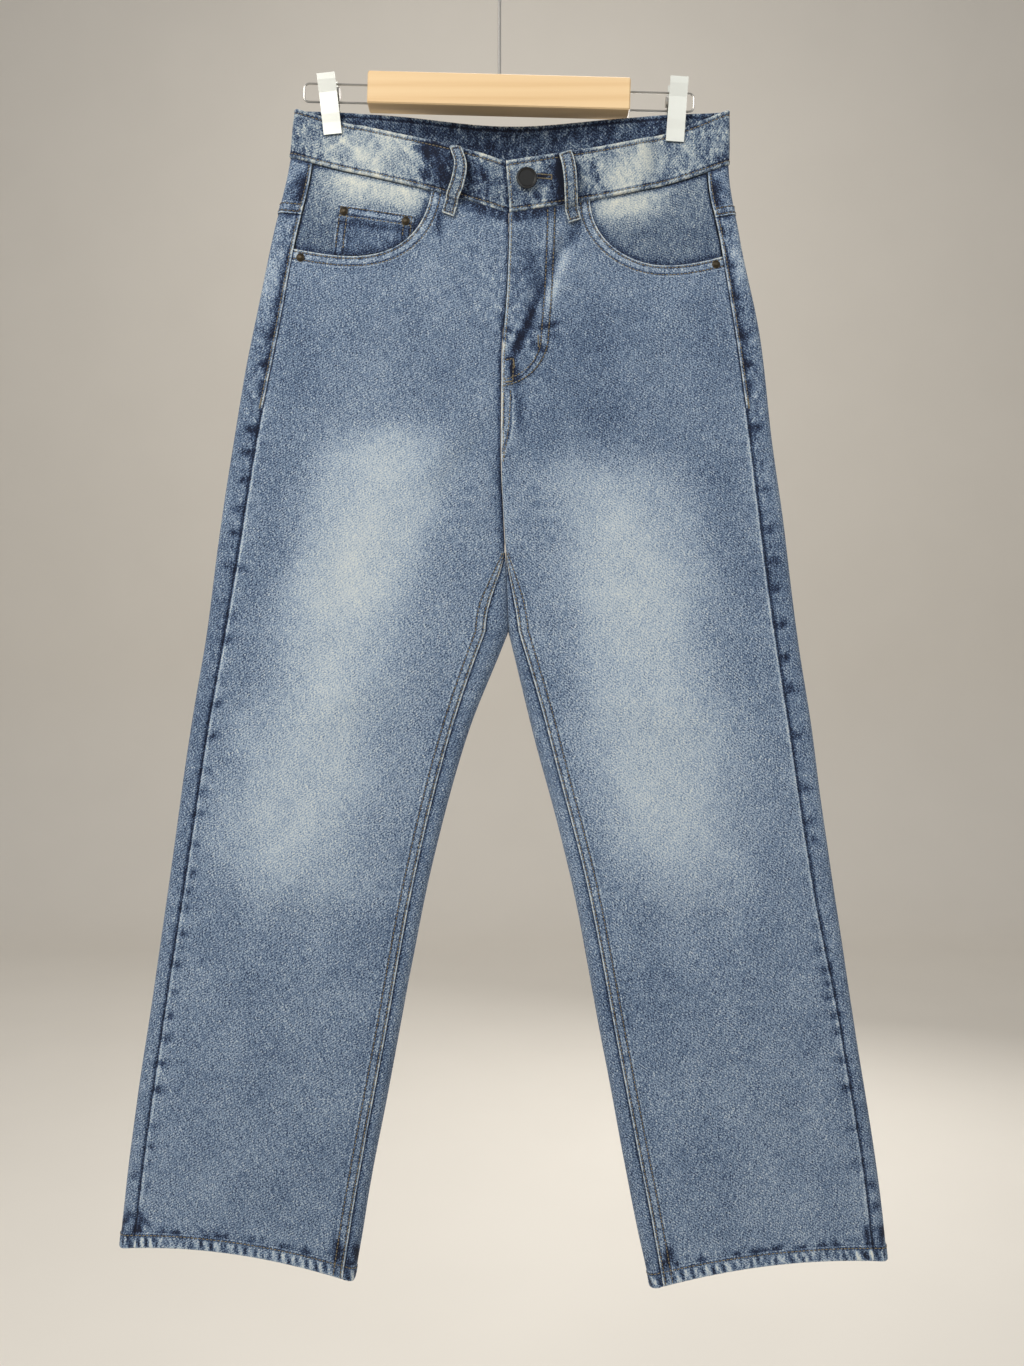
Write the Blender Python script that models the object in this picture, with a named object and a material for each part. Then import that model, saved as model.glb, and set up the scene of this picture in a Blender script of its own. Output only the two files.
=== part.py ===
"""Straight leg jeans, hung by the waistband from the two clips of a wooden hanger.

The origin is the inside top of the hook, +X runs to the wearer's left, +Y to the back, +Z up.
Sizes are in millimetres and turn into metres where a mesh is made.

Each half of the garment is one flattened tube of cloth. A table row gives its outline at one
distance down the outseam, and a second table its depth. A place on a half is (across, down):
across is measured along the cloth from the outseam, positive over the front and negative
round the outer edge and over the back. Every piece is an outline in those two measures,
filled with triangles, laid on the tube and given its wall.
"""

import math
from collections import namedtuple
from functools import lru_cache

import bpy
import numpy as np
from mathutils.geometry import delaunay_2d_cdt

MM = 0.001

# ---- cloth and sewing ------------------------------------------------------------------------
WALL = 1.2
SEAM_GAP = 0.3
LAYER_GAP = 0.3
BAND_HEIGHT = 44.0
BAND_OUT, BAND_IN = 0.6, -1.7
BAND_ROLL = 1.2
UNDERLAP = 40.0
UNDERLAP_RAMP = 26.0
HEM_HEIGHT = 12.0
HEM_RISE = 0.6
FELL_WIDTH = 9.0
FELL_RISE = 0.6
STEP = 0.9
FLY_WIDTH, FLY_STRAIGHT, FLY_END = 39.0, 132.0, 174.0
FLY_RISE = 0.7
SHIELD_WIDTH, SHIELD_END, SHIELD_GAP = 44.0, 168.0, 1.2
YOKE_SIDE, YOKE_CENTRE, YOKE_WIDTH = 45.0, 72.0, 212.0
FACING_LAP, FACING_CLEAR = 16.0, 1.2
COIN_CLEAR = 0.8
PATCH_GAP = 0.5
WELD = 0.02
EDGE_STEPS, MIDDLE_STEPS = 13, 60
SETTLE = 6  # rounds that settle a place whose column depends on its own row

# ---- the garment's levels, measured down the outseam -----------------------------------------
WAIST_TOP, WAIST_SEAM, HEM_EDGE = -BAND_HEIGHT, 0.0, 934.0
FRONT_CROTCH, FORK = 328.0, 401.0
TONGUE_TIP = 336.0
SADDLE = 10.0

# A half's outer edge and seams; the two bows curve a row's fall from the outer to the inner edge.
Outer = namedtuple("Outer", "down x z outseam inseam front_bow back_bow")
RIGHT_OUTER = (
    #     down     x        z   outseam inseam  bows
    Outer(-44, -174.5, -142.0, 15.0, 0.0, -0.10, 0.60),  # top of the waistband
    Outer(0, -178.6, -184.0, 19.0, 0.0, -0.10, 0.20),  # its seam
    Outer(66, -193.7, -249.8, 20.0, 0.0, 0.0, 0.0),  # pocket
    Outer(158, -212.5, -342.2, 22.0, 0.0, 0.0, 0.0),  # hip
    Outer(241, -227.0, -424.3, 20.7, 0.0, 0.0, 0.0),  # below the fly
    Outer(328, -239.9, -510.4, 19.8, 0.0, 0.0, 0.0),  # front crotch
    Outer(401, -249.3, -582.5, 17.2, 19.0, 0.0, 0.0),  # fork
    Outer(490, -263.8, -670.6, 16.0, 14.6, 0.0, 0.0),  # thigh
    Outer(614, -280.9, -793.7, 14.7, 12.0, 0.0, 0.0),  # knee
    Outer(738, -298.9, -916.9, 13.4, 10.6, -0.1, 0.0),  # calf
    Outer(862, -316.8, -1040.0, 14.0, 10.2, -0.6, -0.3),  # ankle
    Outer(934, -324.5, -1112.7, 13.5, 9.5, -1.75, -1.2),  # hem
)
LEFT_OUTER = (
    Outer(-44, 196.2, -142.8, 18.5, 0.0, 0.45, 2.0),
    Outer(0, 196.0, -190.0, 18.3, 0.0, 0.45, 0.20),
    Outer(66, 204.8, -249.8, 17.1, 0.0, 0.3, 0.0),
    Outer(158, 223.6, -342.2, 21.1, 0.0, 0.15, 0.0),
    Outer(241, 233.0, -424.3, 19.8, 0.0, 0.0, 0.0),
    Outer(328, 244.7, -510.4, 21.1, 0.0, 0.0, 0.0),
    Outer(401, 253.6, -582.5, 20.4, 8.5, 0.0, 0.0),
    Outer(490, 267.3, -676.6, 19.9, 12.6, 0.0, 0.0),
    Outer(614, 284.4, -800.6, 18.4, 12.3, 0.0, 0.0),
    Outer(738, 303.2, -924.6, 13.4, 12.6, -0.1, 0.0),
    Outer(862, 322.9, -1050.3, 12.6, 13.0, -0.6, -0.3),
    Outer(934, 331.4, -1123.8, 13.0, 10.5, -1.95, -1.2),
)
# The seam down the middle that the two halves share, at the front and at the back.
Centre = namedtuple("Centre", "down x front_z back_z")
CENTRE = (
    Centre(-44, 5.3, -197.3, -147.0),
    Centre(0, 8.3, -239.0, -190.5),
    Centre(66, 6.8, -292.0, -254.0),
    Centre(158, 1.8, -369.0, -346.0),
    Centre(241, 1.3, -440.0, -428.0),
    Centre(328, 4.9, -514.0, -514.0),
    Centre(401, 7.6, -588.0, -588.0),
)
# A leg's inner edge, from the fork down.
Inner = namedtuple("Inner", "down x z")
RIGHT_INNER = (
    Inner(401, 7.6, -588.0),
    Inner(490, -28.6, -681.7),
    Inner(614, -62.0, -808.3),
    Inner(738, -87.6, -940.8),
    Inner(862, -111.6, -1069.1),
    Inner(934, -123.8, -1141.8),
)
LEFT_INNER = (
    Inner(401, 7.6, -588.0),
    Inner(490, 30.4, -681.7),
    Inner(614, 62.9, -808.3),
    Inner(738, 87.7, -940.8),
    Inner(862, 112.0, -1069.1),
    Inner(934, 128.7, -1147.8),
)
# How deep the tube is: its rounded edges, and how far front and back stand out between them.
Depth = namedtuple("Depth", "down edge inner front back front_power back_power groove")
DEPTH = (
    #     down  edge inner front back  powers  groove
    Depth(-44, 3.2, 10, 24, 17, 3.0, 6.0, 0.0),
    Depth(0, 4.2, 10, 19, 21, 2.4, 4.0, 0.0),
    Depth(66, 5.0, 10, 14, 25, 1.6, 2.0, 0.0),
    Depth(158, 6.0, 10, 10, 27, 1.2, 1.3, 0.0),
    Depth(241, 6.5, 10, 8, 20, 1.0, 1.0, 0.12),
    Depth(328, 7.0, 10, 7, 10, 1.0, 1.0, 0.48),
    Depth(401, 7.0, 9, 6, 7, 1.0, 1.0, 0.7),
    Depth(490, 7.0, 7, 6, 6, 1.0, 1.0, 1.0),
    Depth(934, 7.0, 7, 6, 6, 1.0, 1.0, 1.0),
)
Side = namedtuple("Side", "name outer inner sign")
RIGHT = Side("right", RIGHT_OUTER, RIGHT_INNER, -1)
LEFT = Side("left", LEFT_OUTER, LEFT_INNER, 1)
SIDES = (RIGHT, LEFT)

# Where each clip presses the two layers of the waistband together.
Clip = namedtuple("Clip", "name x top bottom lean")
CLIPS = (
    Clip("right", -144.6, -114.6, -165.2, 6.3),
    Clip("left", 151.1, -117.6, -171.2, -3.8),
)
PINCH_ALONG, PINCH_DOWN = 23.0, 40.0
PINCHED = 2.3  # half the gap between the two layers there

# The largest folds: soft ridges and troughs along a line from one place to another.
Fold = namedtuple("Fold", "side across down to_across to_down width height")
FOLD_END = 0.04  # a fold keeps a little height at its ends
FOLDS = (
    Fold("left", 116, 20, 150, 74, 7, -1.6),
    Fold("left", 146, 52, 182, 128, 8, -2.2),
    Fold("left", 160, 62, 190, 140, 8, 1.6),
    Fold("left", 186, 190, 150, 300, 15, 1.8),
    Fold("left", 200, 200, 175, 330, 10, -1.6),
    Fold("right", 196, 196, 160, 310, 14, -1.8),
    Fold("right", 176, 190, 140, 290, 15, 1.6),
    Fold("right", 30, 92, 110, 150, 13, 1.3),
    Fold("left", 30, 100, 100, 170, 13, 1.2),
    Fold("right", 60, 470, 190, 430, 22, 1.8),
    Fold("left", 60, 480, 190, 436, 22, 1.8),
    Fold("right", 50, 640, 150, 660, 24, -1.6),
    Fold("left", 60, 650, 160, 640, 24, -1.6),
    Fold("right", -215, 270, -120, 335, 14, 2.4),
    Fold("left", -215, 262, -110, 322, 14, 2.2),
    Fold("right", -225, 315, -150, 372, 11, -2.0),
    Fold("left", -222, 305, -140, 360, 11, -2.0),
    Fold("right", -60, 560, -190, 590, 22, -2.0),
    Fold("left", -70, 575, -200, 560, 22, -2.0),
    Fold("right", -80, 640, -180, 655, 22, 1.6),
    Fold("left", -70, 655, -170, 640, 22, 1.6),
)

# ---- hanger ----------------------------------------------------------------------------------
BLOCK_LENGTH, BLOCK_HEIGHT, BLOCK_DEPTH = 223.0, 27.5, 20.0
BLOCK_TOP, BLOCK_TILT = -115.9, 1.5
BLOCK_EDGE = 1.0
HOOK_WIRE, HOOK_RADIUS = 2.8, 18.4
HOOK_OPEN, HOOK_TIP = -38.0, 200.0  # where its round part starts and ends, in degrees from +X
HOOK_STEM_TOP, HOOK_BEND = -50.0, 9.0
FRAME_WIRE, FRAME_CORNER = 1.9, 4.0
FRAME_REACH, FRAME_UPPER, FRAME_LOWER = 55.0, -8.0, -23.5
CLIP_WIDTH, CLIP_WALL = 15.4, 1.0
SPRING_RADIUS, SPRING_LENGTH = 5.0, 17.0
# A clip's plate: share of its height from the top, and its gap from the middle plane there.
CLIP_BENDS = (
    (0.0, 8.0),
    (0.1, 7.4),
    (0.3, 5.6),
    (0.5, 5.3),
    (0.66, 4.9),
    (0.8, 4.1),
    (0.93, 3.75),
    (1.0, 4.0),
)
MATERIALS = {
    # name: colour, roughness, metallic
    "denim": ((0.16, 0.22, 0.33, 1.0), 0.85, 0.0),
    "denim_pale": ((0.36, 0.42, 0.50, 1.0), 0.85, 0.0),
    "pine": ((0.78, 0.58, 0.36, 1.0), 0.5, 0.0),
    "steel": ((0.70, 0.69, 0.67, 1.0), 0.25, 1.0),
    "antique_brass": ((0.22, 0.18, 0.12, 1.0), 0.4, 1.0),
    "button": ((0.03, 0.03, 0.035, 1.0), 0.45, 0.4),
}


# ---- the form of one half --------------------------------------------------------------------
def monotone(rows, field, at):
    """The field's value between the rows, on a curve with no overshoot."""
    x = np.array([row.down for row in rows], float)
    y = np.array([getattr(row, field) for row in rows], float)
    run = np.diff(x)
    slope = np.diff(y) / run
    tangent = np.zeros_like(y)
    for i in range(1, len(x) - 1):
        if slope[i - 1] * slope[i] > 0:
            before, after = 2 * run[i] + run[i - 1], run[i] + 2 * run[i - 1]
            tangent[i] = (before + after) / (before / slope[i - 1] + after / slope[i])
    tangent[0], tangent[-1] = slope[0], slope[-1]
    i = int(np.clip(np.searchsorted(x, at, "right") - 1, 0, len(x) - 2))
    u = (at - x[i]) / run[i]
    return (
        (1 + 2 * u) * (1 - u) ** 2 * y[i]
        + u * (1 - u) ** 2 * run[i] * tangent[i]
        + u * u * (3 - 2 * u) * y[i + 1]
        + u * u * (u - 1) * run[i] * tangent[i + 1]
    )


def row_at(rows, down):
    kind = type(rows[0])
    return kind(down, *(monotone(rows, field, down) for field in kind._fields[1:]))


def rounded(distance, radius):
    """0 at an edge, 1 from the radius inward, on a quarter of an ellipse."""
    return np.sqrt(np.clip(1 - (np.clip(radius - distance, 0, None) / radius) ** 2, 0, 1))


def inner_edge(side, down, front):
    """Where a row ends: at the centre seam, or below the fork at the leg's inner edge."""
    if down > FORK:
        inner = row_at(side.inner, down)
        return inner.x, inner.z
    centre = row_at(CENTRE, down)
    return centre.x, centre.front_z if front else centre.back_z


def face(side, down, front):
    """Distances in from the outer edge, and points to the inner edge, on one face of a half."""
    outer, depth = row_at(side.outer, down), row_at(DEPTH, down)
    inner_x, inner_z = inner_edge(side, down, front)
    width = abs(inner_x - outer.x) - SEAM_GAP / 2
    turn = 1 - np.cos(np.linspace(0, math.pi / 2, EDGE_STEPS))
    middle = np.linspace(depth.edge, width - depth.inner, MIDDLE_STEPS)
    reach = np.concatenate([depth.edge * turn, middle[1:-1], width - depth.inner * turn[::-1]])
    opened = math.sqrt(np.clip((FORK - down) / SADDLE, 0, 1))
    groove = 1 - (1 - depth.groove) * opened
    share = reach / width
    power = depth.front_power if front else depth.back_power
    body = (1 - (1 - share) ** 2) ** power
    leg = 4 * share * (1 - share)
    fall = 1 - groove * (1 - rounded(width - reach, depth.inner))
    bulge = depth.front if front else depth.back
    out = depth.edge * rounded(reach, depth.edge) * fall
    out = out + bulge * ((1 - groove) * body + groove * leg)
    x = outer.x - side.sign * reach
    bow = outer.front_bow if front else outer.back_bow
    z = outer.z + (inner_z - outer.z) * (share + bow * share * (1 - share))
    for clip in CLIPS:
        pinch = math.exp(-(((down - WAIST_TOP) / PINCH_DOWN) ** 4))
        pinch = pinch * np.exp(-(((x - clip.x) / PINCH_ALONG) ** 4))
        out = out * (1 - pinch) + np.minimum(out, PINCHED) * pinch
    return reach, np.stack([x, -out if front else out, z], -1)


Section = namedtuple("Section", "across points front_end back_end inseam")


@lru_cache(maxsize=None)
def section(name, down):
    """The half's cross-section, from the centre back round the outer edge to the centre front."""
    side = RIGHT if name == "right" else LEFT
    outer = row_at(side.outer, down)
    front_reach, front = face(side, down, True)
    _, back = face(side, down, False)
    points = np.concatenate([back[::-1], front[1:]])
    run = np.concatenate([[0], np.cumsum(np.linalg.norm(np.diff(points, axis=0), axis=1))])
    on_front = run[len(back) - 1 :]
    across = run - np.interp(outer.outseam, front_reach, on_front)
    inseam = np.interp(front_reach[-1] - outer.inseam, front_reach, across[len(back) - 1 :])
    return Section(across, points, across[-1], across[0], inseam)


def on_cloth(name, across, down):
    cut = section(name, down)
    return np.array([np.interp(across, cut.across, cut.points[:, i]) for i in range(3)])


def outward(name, across, down):
    reach = 0.5
    along = on_cloth(name, across + reach, down) - on_cloth(name, across - reach, down)
    fall = on_cloth(name, across, down + reach) - on_cloth(name, across, down - reach)
    normal = np.cross(along, fall) * (-1 if name == "right" else 1)
    return normal / np.linalg.norm(normal)


def folded(name, across, down):
    """How far the folds lift the cloth here."""
    lift = 0.0
    for fold in FOLDS:
        if fold.side != name or fold.across * across < 0:
            continue
        start = np.array([fold.across, fold.down], float)
        run = np.array([fold.to_across, fold.to_down]) - start
        share = np.dot(np.array([across, down]) - start, run) / np.dot(run, run)
        off = np.linalg.norm(np.array([across, down]) - start - run * np.clip(share, 0, 1))
        fade = math.sin(math.pi * np.clip(share, FOLD_END, 1 - FOLD_END))
        lift += fold.height * fade * math.exp(-((off / fold.width) ** 2))
    return lift


# ---- making solids ---------------------------------------------------------------------------
def add_object(name, points, faces, material, smooth=30):
    mesh = bpy.data.meshes.new(name)
    mesh.from_pydata([tuple(float(v) * MM for v in point) for point in points], [], faces)
    mesh.validate()
    mesh.shade_smooth()
    mesh.set_sharp_from_angle(angle=math.radians(smooth))
    mesh.materials.append(material_named(material))
    made = bpy.data.objects.new(name, mesh)
    bpy.context.scene.collection.objects.link(made)
    return made


def material_named(name):
    if name in bpy.data.materials:
        return bpy.data.materials[name]
    colour, roughness, metallic = MATERIALS[name]
    material = bpy.data.materials.new(name)
    material.use_nodes = True
    shader = material.node_tree.nodes["Principled BSDF"]
    shader.inputs["Base Color"].default_value = colour
    shader.inputs["Roughness"].default_value = roughness
    shader.inputs["Metallic"].default_value = metallic
    return material


Sheet = namedtuple("Sheet", "places normals outer inner triangles")


def triangulate(outline, chains=(), points=()):
    """Fill a closed outline, keeping each chain of inside places as edges."""
    places = list(outline)
    count = len(outline)
    edges = []
    for chain in chains:
        inside = [p for p in chain if p is not None]
        first = len(places)
        places.extend(inside)
        number, last = first, None
        for p in chain:
            if p is None:
                last = None
                continue
            if last is not None:
                edges.append((last, number))
            last = number
            number += 1
    places.extend(points)
    filled = delaunay_2d_cdt(places, edges, [list(range(count))], 1, 1e-4)
    kept = [places[origin[0]] if origin else tuple(v) for v, origin in zip(filled[0], filled[3])]
    return kept, [list(triangle) for triangle in filled[2]]


def lay(name, outline, outer, inner, chains=(), points=()):
    """A sheet with this outline on one half, its two faces at the heights that the rules give."""
    flat, triangles = triangulate(outline, chains, points)
    if name == "right":
        triangles = [triangle[::-1] for triangle in triangles]
    places = [on_cloth(name, a, d) + folded(name, a, d) * outward(name, a, d) for a, d in flat]
    normals = [outward(name, a, d) for a, d in flat]
    return Sheet(
        places, normals, [outer(a, d) for a, d in flat], [inner(a, d) for a, d in flat], triangles
    )


def thicken(name, sheets, material):
    """One closed solid from sheets whose edges meet."""
    sums, triangles = [], []
    for sheet in sheets:
        numbers = []
        already = np.array([s[0] for s in sums])
        for values in zip(sheet.places, sheet.normals, sheet.outer, sheet.inner):
            near = []
            if len(already):
                near = np.nonzero(np.abs(already - values[0]).max(axis=1) < WELD)[0]
            if len(near):
                number = int(near[0])
                sums[number][1] = sums[number][1] + values[1]
            else:
                number = len(sums)
                sums.append([values[0], values[1], values[2], values[3]])
            numbers.append(number)
        triangles += [[numbers[i] for i in triangle] for triangle in sheet.triangles]
    normals = [s[1] / np.linalg.norm(s[1]) for s in sums]
    outer = [s[0] + n * s[2] for s, n in zip(sums, normals)]
    inner = [s[0] + n * s[3] for s, n in zip(sums, normals)]
    under = len(outer)
    directed = {(t[i], t[(i + 1) % len(t)]) for t in triangles for i in range(len(t))}
    faces = [list(t) for t in triangles]
    faces += [[v + under for v in reversed(t)] for t in triangles]
    faces += [[b, a, a + under, b + under] for a, b in sorted(directed) if (b, a) not in directed]
    return add_object(name, outer + inner, faces, material)


def grid(points, closed=False):
    """Quads over rows of points, each row as long as the next."""
    rows, columns = len(points), len(points[0])
    faces = []
    for i in range(rows - 1):
        above, below = i * columns, (i + 1) * columns
        for j in range(columns if closed else columns - 1):
            k = (j + 1) % columns
            faces.append([above + j, above + k, below + k, below + j])
    return [p for row in points for p in row], faces


def loft(name, rings, material, smooth=30):
    """A closed solid through rings of points, flat at both ends."""
    points, faces = grid(rings, closed=True)
    size = len(rings[0])
    faces.append(list(range(size))[::-1])
    faces.append(list(range(len(points) - size, len(points))))
    face_outward(add_object(name, points, faces, material, smooth))


def face_outward(made):
    """Turn all faces round if the solid is inside out."""
    mesh = made.data
    mesh.calc_loop_triangles()
    volume = 0.0
    for triangle in mesh.loop_triangles:
        a, b, c = (mesh.vertices[i].co for i in triangle.vertices)
        volume += a.dot(b.cross(c))
    if volume < 0:
        mesh.flip_normals()


# ---- rows and columns that the panels share --------------------------------------------------
ROWS = (
    [WAIST_SEAM + SEAM_GAP, 20.0, 40.0, 60.0, 80.0, 104.0, FLY_STRAIGHT, 154.0, FLY_END]
    + [208.0, 246.0, 286.0, FRONT_CROTCH, 364.0, FORK, 440.0, 486.0]
    + [536.0 + 52 * i for i in range(8)]
    + [HEM_EDGE - HEM_HEIGHT - STEP, HEM_EDGE - HEM_HEIGHT, HEM_EDGE]
)
CROTCH_ROWS = [TONGUE_TIP, 346.0, 382.0, 393.0, 398.5, 400.5, 402.5, 407.0, 415.0, 426.0]
CROTCH_COLUMNS = 4


def inner_rows(rows):
    """The rows at a panel's inner edge, closer together about the fork."""
    return sorted(rows + CROTCH_ROWS)


def column_chain(table, rows, column, count):
    """One column of places down a panel, with the close rows if it lies near the inner edge."""
    close = inner_rows(rows) if column >= count - CROTCH_COLUMNS else rows
    return [(table[d][column], d) for d in close[:-1]]


def front_edge(name, down):
    """Where the front panel ends: at the centre front, and from the crotch down at the inseam."""
    cut = section(name, down)
    return (cut.inseam if down > FRONT_CROTCH else cut.front_end) - SEAM_GAP / 2


def back_edge(name, down):
    return section(name, down).back_end


def hem_rise(down):
    return HEM_RISE * np.clip((down - (HEM_EDGE - HEM_HEIGHT - STEP)) / STEP, 0, 1)


def ridge(distance, width=FELL_WIDTH, rise=FELL_RISE):
    """A felled seam's ridge, from its seam line inward."""
    return rise * np.clip((width + STEP - distance) / STEP, 0, 1)


def spaced(start, end, count):
    return [start + (end - start) * i / (count + 1) for i in range(1, count + 1)]


def around(rows):
    """The outline of a patch given as rows of places."""
    right_side, left_side = [r[-1] for r in rows[1:-1]], [r[0] for r in rows[-2:0:-1]]
    return rows[0] + right_side + rows[-1][::-1] + left_side


def front_columns(name, down):
    start, end = SEAM_GAP / 2, front_edge(name, down)
    near = [start, start + 5, start + 13]
    far = [end - d for d in (20, FELL_WIDTH + STEP, FELL_WIDTH, 4, 0)]
    return near + spaced(near[-1], far[0], 6) + far


def back_columns(name, down):
    """From the outseam round the outer edge to the centre back, as distances going backwards."""
    end = -back_edge(name, down)
    turn = outer_edge(name, down)
    near = [SEAM_GAP / 2, turn - 9.5, turn - 4.5, turn - 1.5, turn + 1.5, turn + 4.5, turn + 9.5]
    far = [end - d for d in (20, FELL_WIDTH + STEP, FELL_WIDTH, 4, 0)]
    return near + spaced(near[-1], far[0], 7) + far


def outer_edge(name, down):
    """How far round from the outseam the half's outer edge lies."""
    cut = section(name, down)
    return -cut.across[np.argmax(np.abs(cut.points[:, 0]))]


# ---- front panels ----------------------------------------------------------------------------
Mouth = namedtuple("Mouth", "width depth side_depth corner")
MOUTHS = {"right": Mouth(108, 76, 75, 3.2), "left": Mouth(107, 84.5, 82, 2.9)}


def mouth_curve(name, grow=0.0, count=18):
    """The scooped pocket mouth, from the waist seam to the outseam; grow moves it into the panel."""
    mouth = MOUTHS[name]
    width, deep = mouth.width + grow, mouth.depth + grow
    lean = 8.0
    curve = []
    for i in range(count + 1):
        angle = math.pi / 2 * i / count
        across = width * math.cos(angle) ** (2 / mouth.corner)
        down = deep * math.sin(angle) ** (2 / mouth.corner)
        across -= lean * (down / deep) * (across / width)
        down -= (mouth.depth - mouth.side_depth) * max(0, 1 - across / 60)
        curve.append((max(across, SEAM_GAP / 2), max(down, WAIST_SEAM + SEAM_GAP)))
    return curve


def above_mouth(name, across, down, margin):
    """Whether a place lies in the mouth or nearer to it than the margin."""
    curve = np.array(mouth_curve(name, margin, 60))
    if down >= curve[:, 1].max() or across >= curve[:, 0].max():
        return False
    limit = np.interp(down, curve[:, 1], curve[:, 0])
    return across < limit


def fly_line(name, inset):
    """The J of the fly, from the waist seam to the centre front."""
    line = []
    for down in ROWS:
        if down < FLY_STRAIGHT:
            line.append((front_edge(name, down) - FLY_WIDTH + inset, down))
    for i in range(7):
        angle = math.pi / 2 * i / 6
        down = FLY_STRAIGHT + (FLY_END - inset - FLY_STRAIGHT) * math.sin(angle)
        line.append((front_edge(name, down) - (FLY_WIDTH - inset) * math.cos(angle), down))
    return line


def fly_rise(name, across, down):
    """The placket under the fly lifts the left front over its whole J."""
    if name != "left" or down > FLY_END + STEP:
        return 0.0
    width = FLY_WIDTH
    if down > FLY_STRAIGHT:
        width *= math.sqrt(max(0, 1 - ((down - FLY_STRAIGHT) / (FLY_END - FLY_STRAIGHT)) ** 2))
    distance = front_edge(name, down) - across
    return FLY_RISE * np.clip((width - distance) / STEP, 0, 1)


def front_panel(side):
    name = side.name
    mouth = mouth_curve(name)
    table = {down: front_columns(name, down) for down in inner_rows(ROWS)}
    top, hem = ROWS[0], ROWS[-1]
    outline = [mouth[0]]
    outline += [(a, top) for a in table[top] if a > mouth[0][0] + 3]
    outline += [(table[d][-1], d) for d in inner_rows(ROWS)[1:]]
    outline += [(a, hem) for a in table[hem][-2::-1]]
    outline += [(table[d][0], d) for d in ROWS[-2::-1] if d > mouth[-1][1] + 3]
    outline += mouth[:0:-1]
    chains = []
    count = len(table[hem])
    for j in range(1, count - 1):
        chain = column_chain(table, ROWS, j, count)[1:]
        chains.append([None if taken(name, a, d) else (a, d) for a, d in chain])
    if name == "left":
        chains += [fly_line(name, 0)[1:-1], fly_line(name, STEP)[1:-1]]

    def outer(across, down):
        fell = ridge(front_edge(name, down) - across) if down > FRONT_CROTCH else 0.0
        fell *= np.clip((down - FRONT_CROTCH) / 20, 0, 1)
        return max(fell, hem_rise(down), fly_rise(name, across, down))

    sheet = lay(name, outline, outer, lambda a, d: -WALL - hem_rise(d), chains)
    thicken(f"front_{name}", [sheet], "denim")


def taken(name, across, down):
    """Whether the mouth or the line of the fly lies here, or too near for another point."""
    if above_mouth(name, across, down, 3.5):
        return True
    if name != "left" or down > FLY_END + 4:
        return False
    line = np.array(fly_line(name, STEP / 2))
    return np.min(np.hypot(line[:, 0] - across, line[:, 1] - down)) < 4


# ---- back panels and yokes -------------------------------------------------------------------
def yoke_seam(across):
    """The yoke's lower seam: how far down it lies at this distance round the back."""
    share = np.clip(-across / YOKE_WIDTH, 0, 1)
    return YOKE_SIDE + (YOKE_CENTRE - YOKE_SIDE) * share


def back_panel(side):
    name = side.name
    rows = [d for d in ROWS if d > YOKE_CENTRE + 6]
    table = {down: [-b for b in back_columns(name, down)] for down in inner_rows(rows)}
    hem = rows[-1]
    columns = len(table[hem])
    top = []
    for j in range(columns):
        down = YOKE_CENTRE
        for _ in range(SETTLE):
            across = -back_columns(name, down)[j]
            down = yoke_seam(across) + SEAM_GAP / 2
        top.append((across, down))
    side_rows = [d for d in ROWS if top[0][1] + 4 < d <= rows[0] - 4]
    outline = list(top)
    outline += [(table[d][-1], d) for d in inner_rows(rows)]
    outline += [(a, hem) for a in table[hem][-2::-1]]
    outline += [(table[d][0], d) for d in rows[-2::-1]]
    outline += [(-SEAM_GAP / 2, d) for d in reversed(side_rows)]
    chains = [column_chain(table, rows, j, columns) for j in range(1, columns - 1)]

    def outer(across, down):
        seat = ridge(across - back_edge(name, down)) if name == "right" else 0.0
        seat *= np.clip((FRONT_CROTCH - down) / 30, 0, 1)
        return max(seat, hem_rise(down))

    def inner(_, down):
        return -WALL - hem_rise(down)

    main = lay(name, outline, outer, inner, chains)
    thicken(f"back_{name}", [main, tongue(name, inner)], "denim")


def tongue(name, inner):
    """The back panel's edge, which comes round under the crotch to the inseam on the front."""
    rows = [d for d in inner_rows(ROWS) if d >= TONGUE_TIP]
    shares = (0.0, 0.4, 0.75, 1.0)
    table = {}
    for down in rows:
        start = section(name, down).inseam + SEAM_GAP / 2
        end = section(name, down).front_end
        table[down] = [start + (end - start) * share for share in shares]
    hem = rows[-1]
    outline = [(table[d][-1], d) for d in rows]
    outline += [(a, hem) for a in table[hem][-2::-1]]
    outline += [(table[d][0], d) for d in rows[-2::-1]]
    chains = [[(table[d][j], d) for d in rows[2:-1]] for j in range(1, len(shares) - 1)]
    return lay(name, outline, lambda a, d: hem_rise(d), inner, chains)


def yoke(side):
    name = side.name
    top = ROWS[0]
    count = len(back_columns(name, top))
    shares = (0.0, 0.33, 0.66, None, None, 1.0)
    rows = []
    for level, share in enumerate(shares):
        row = []
        for j in range(count):
            down = YOKE_CENTRE
            for _ in range(SETTLE):
                across = -back_columns(name, down)[j]
                seam = yoke_seam(across) - SEAM_GAP / 2
                if share is None:
                    down = seam - FELL_WIDTH - (STEP if level == 3 else 0)
                else:
                    down = top + (seam - top - (FELL_WIDTH + STEP) * (0 < share < 1)) * share
            row.append((across, down))
        rows.append(row)
    outline = around(rows)
    chains = [[row[j] for row in rows[1:-1]] for j in range(1, count - 1)]

    def outer(across, down):
        felled = ridge(yoke_seam(across) - down)
        seat = ridge(across - back_edge(name, down)) if name == "right" else 0.0
        return max(felled, seat)

    thicken(f"yoke_{name}", [lay(name, outline, outer, lambda a, d: -WALL, chains)], "denim")


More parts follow.
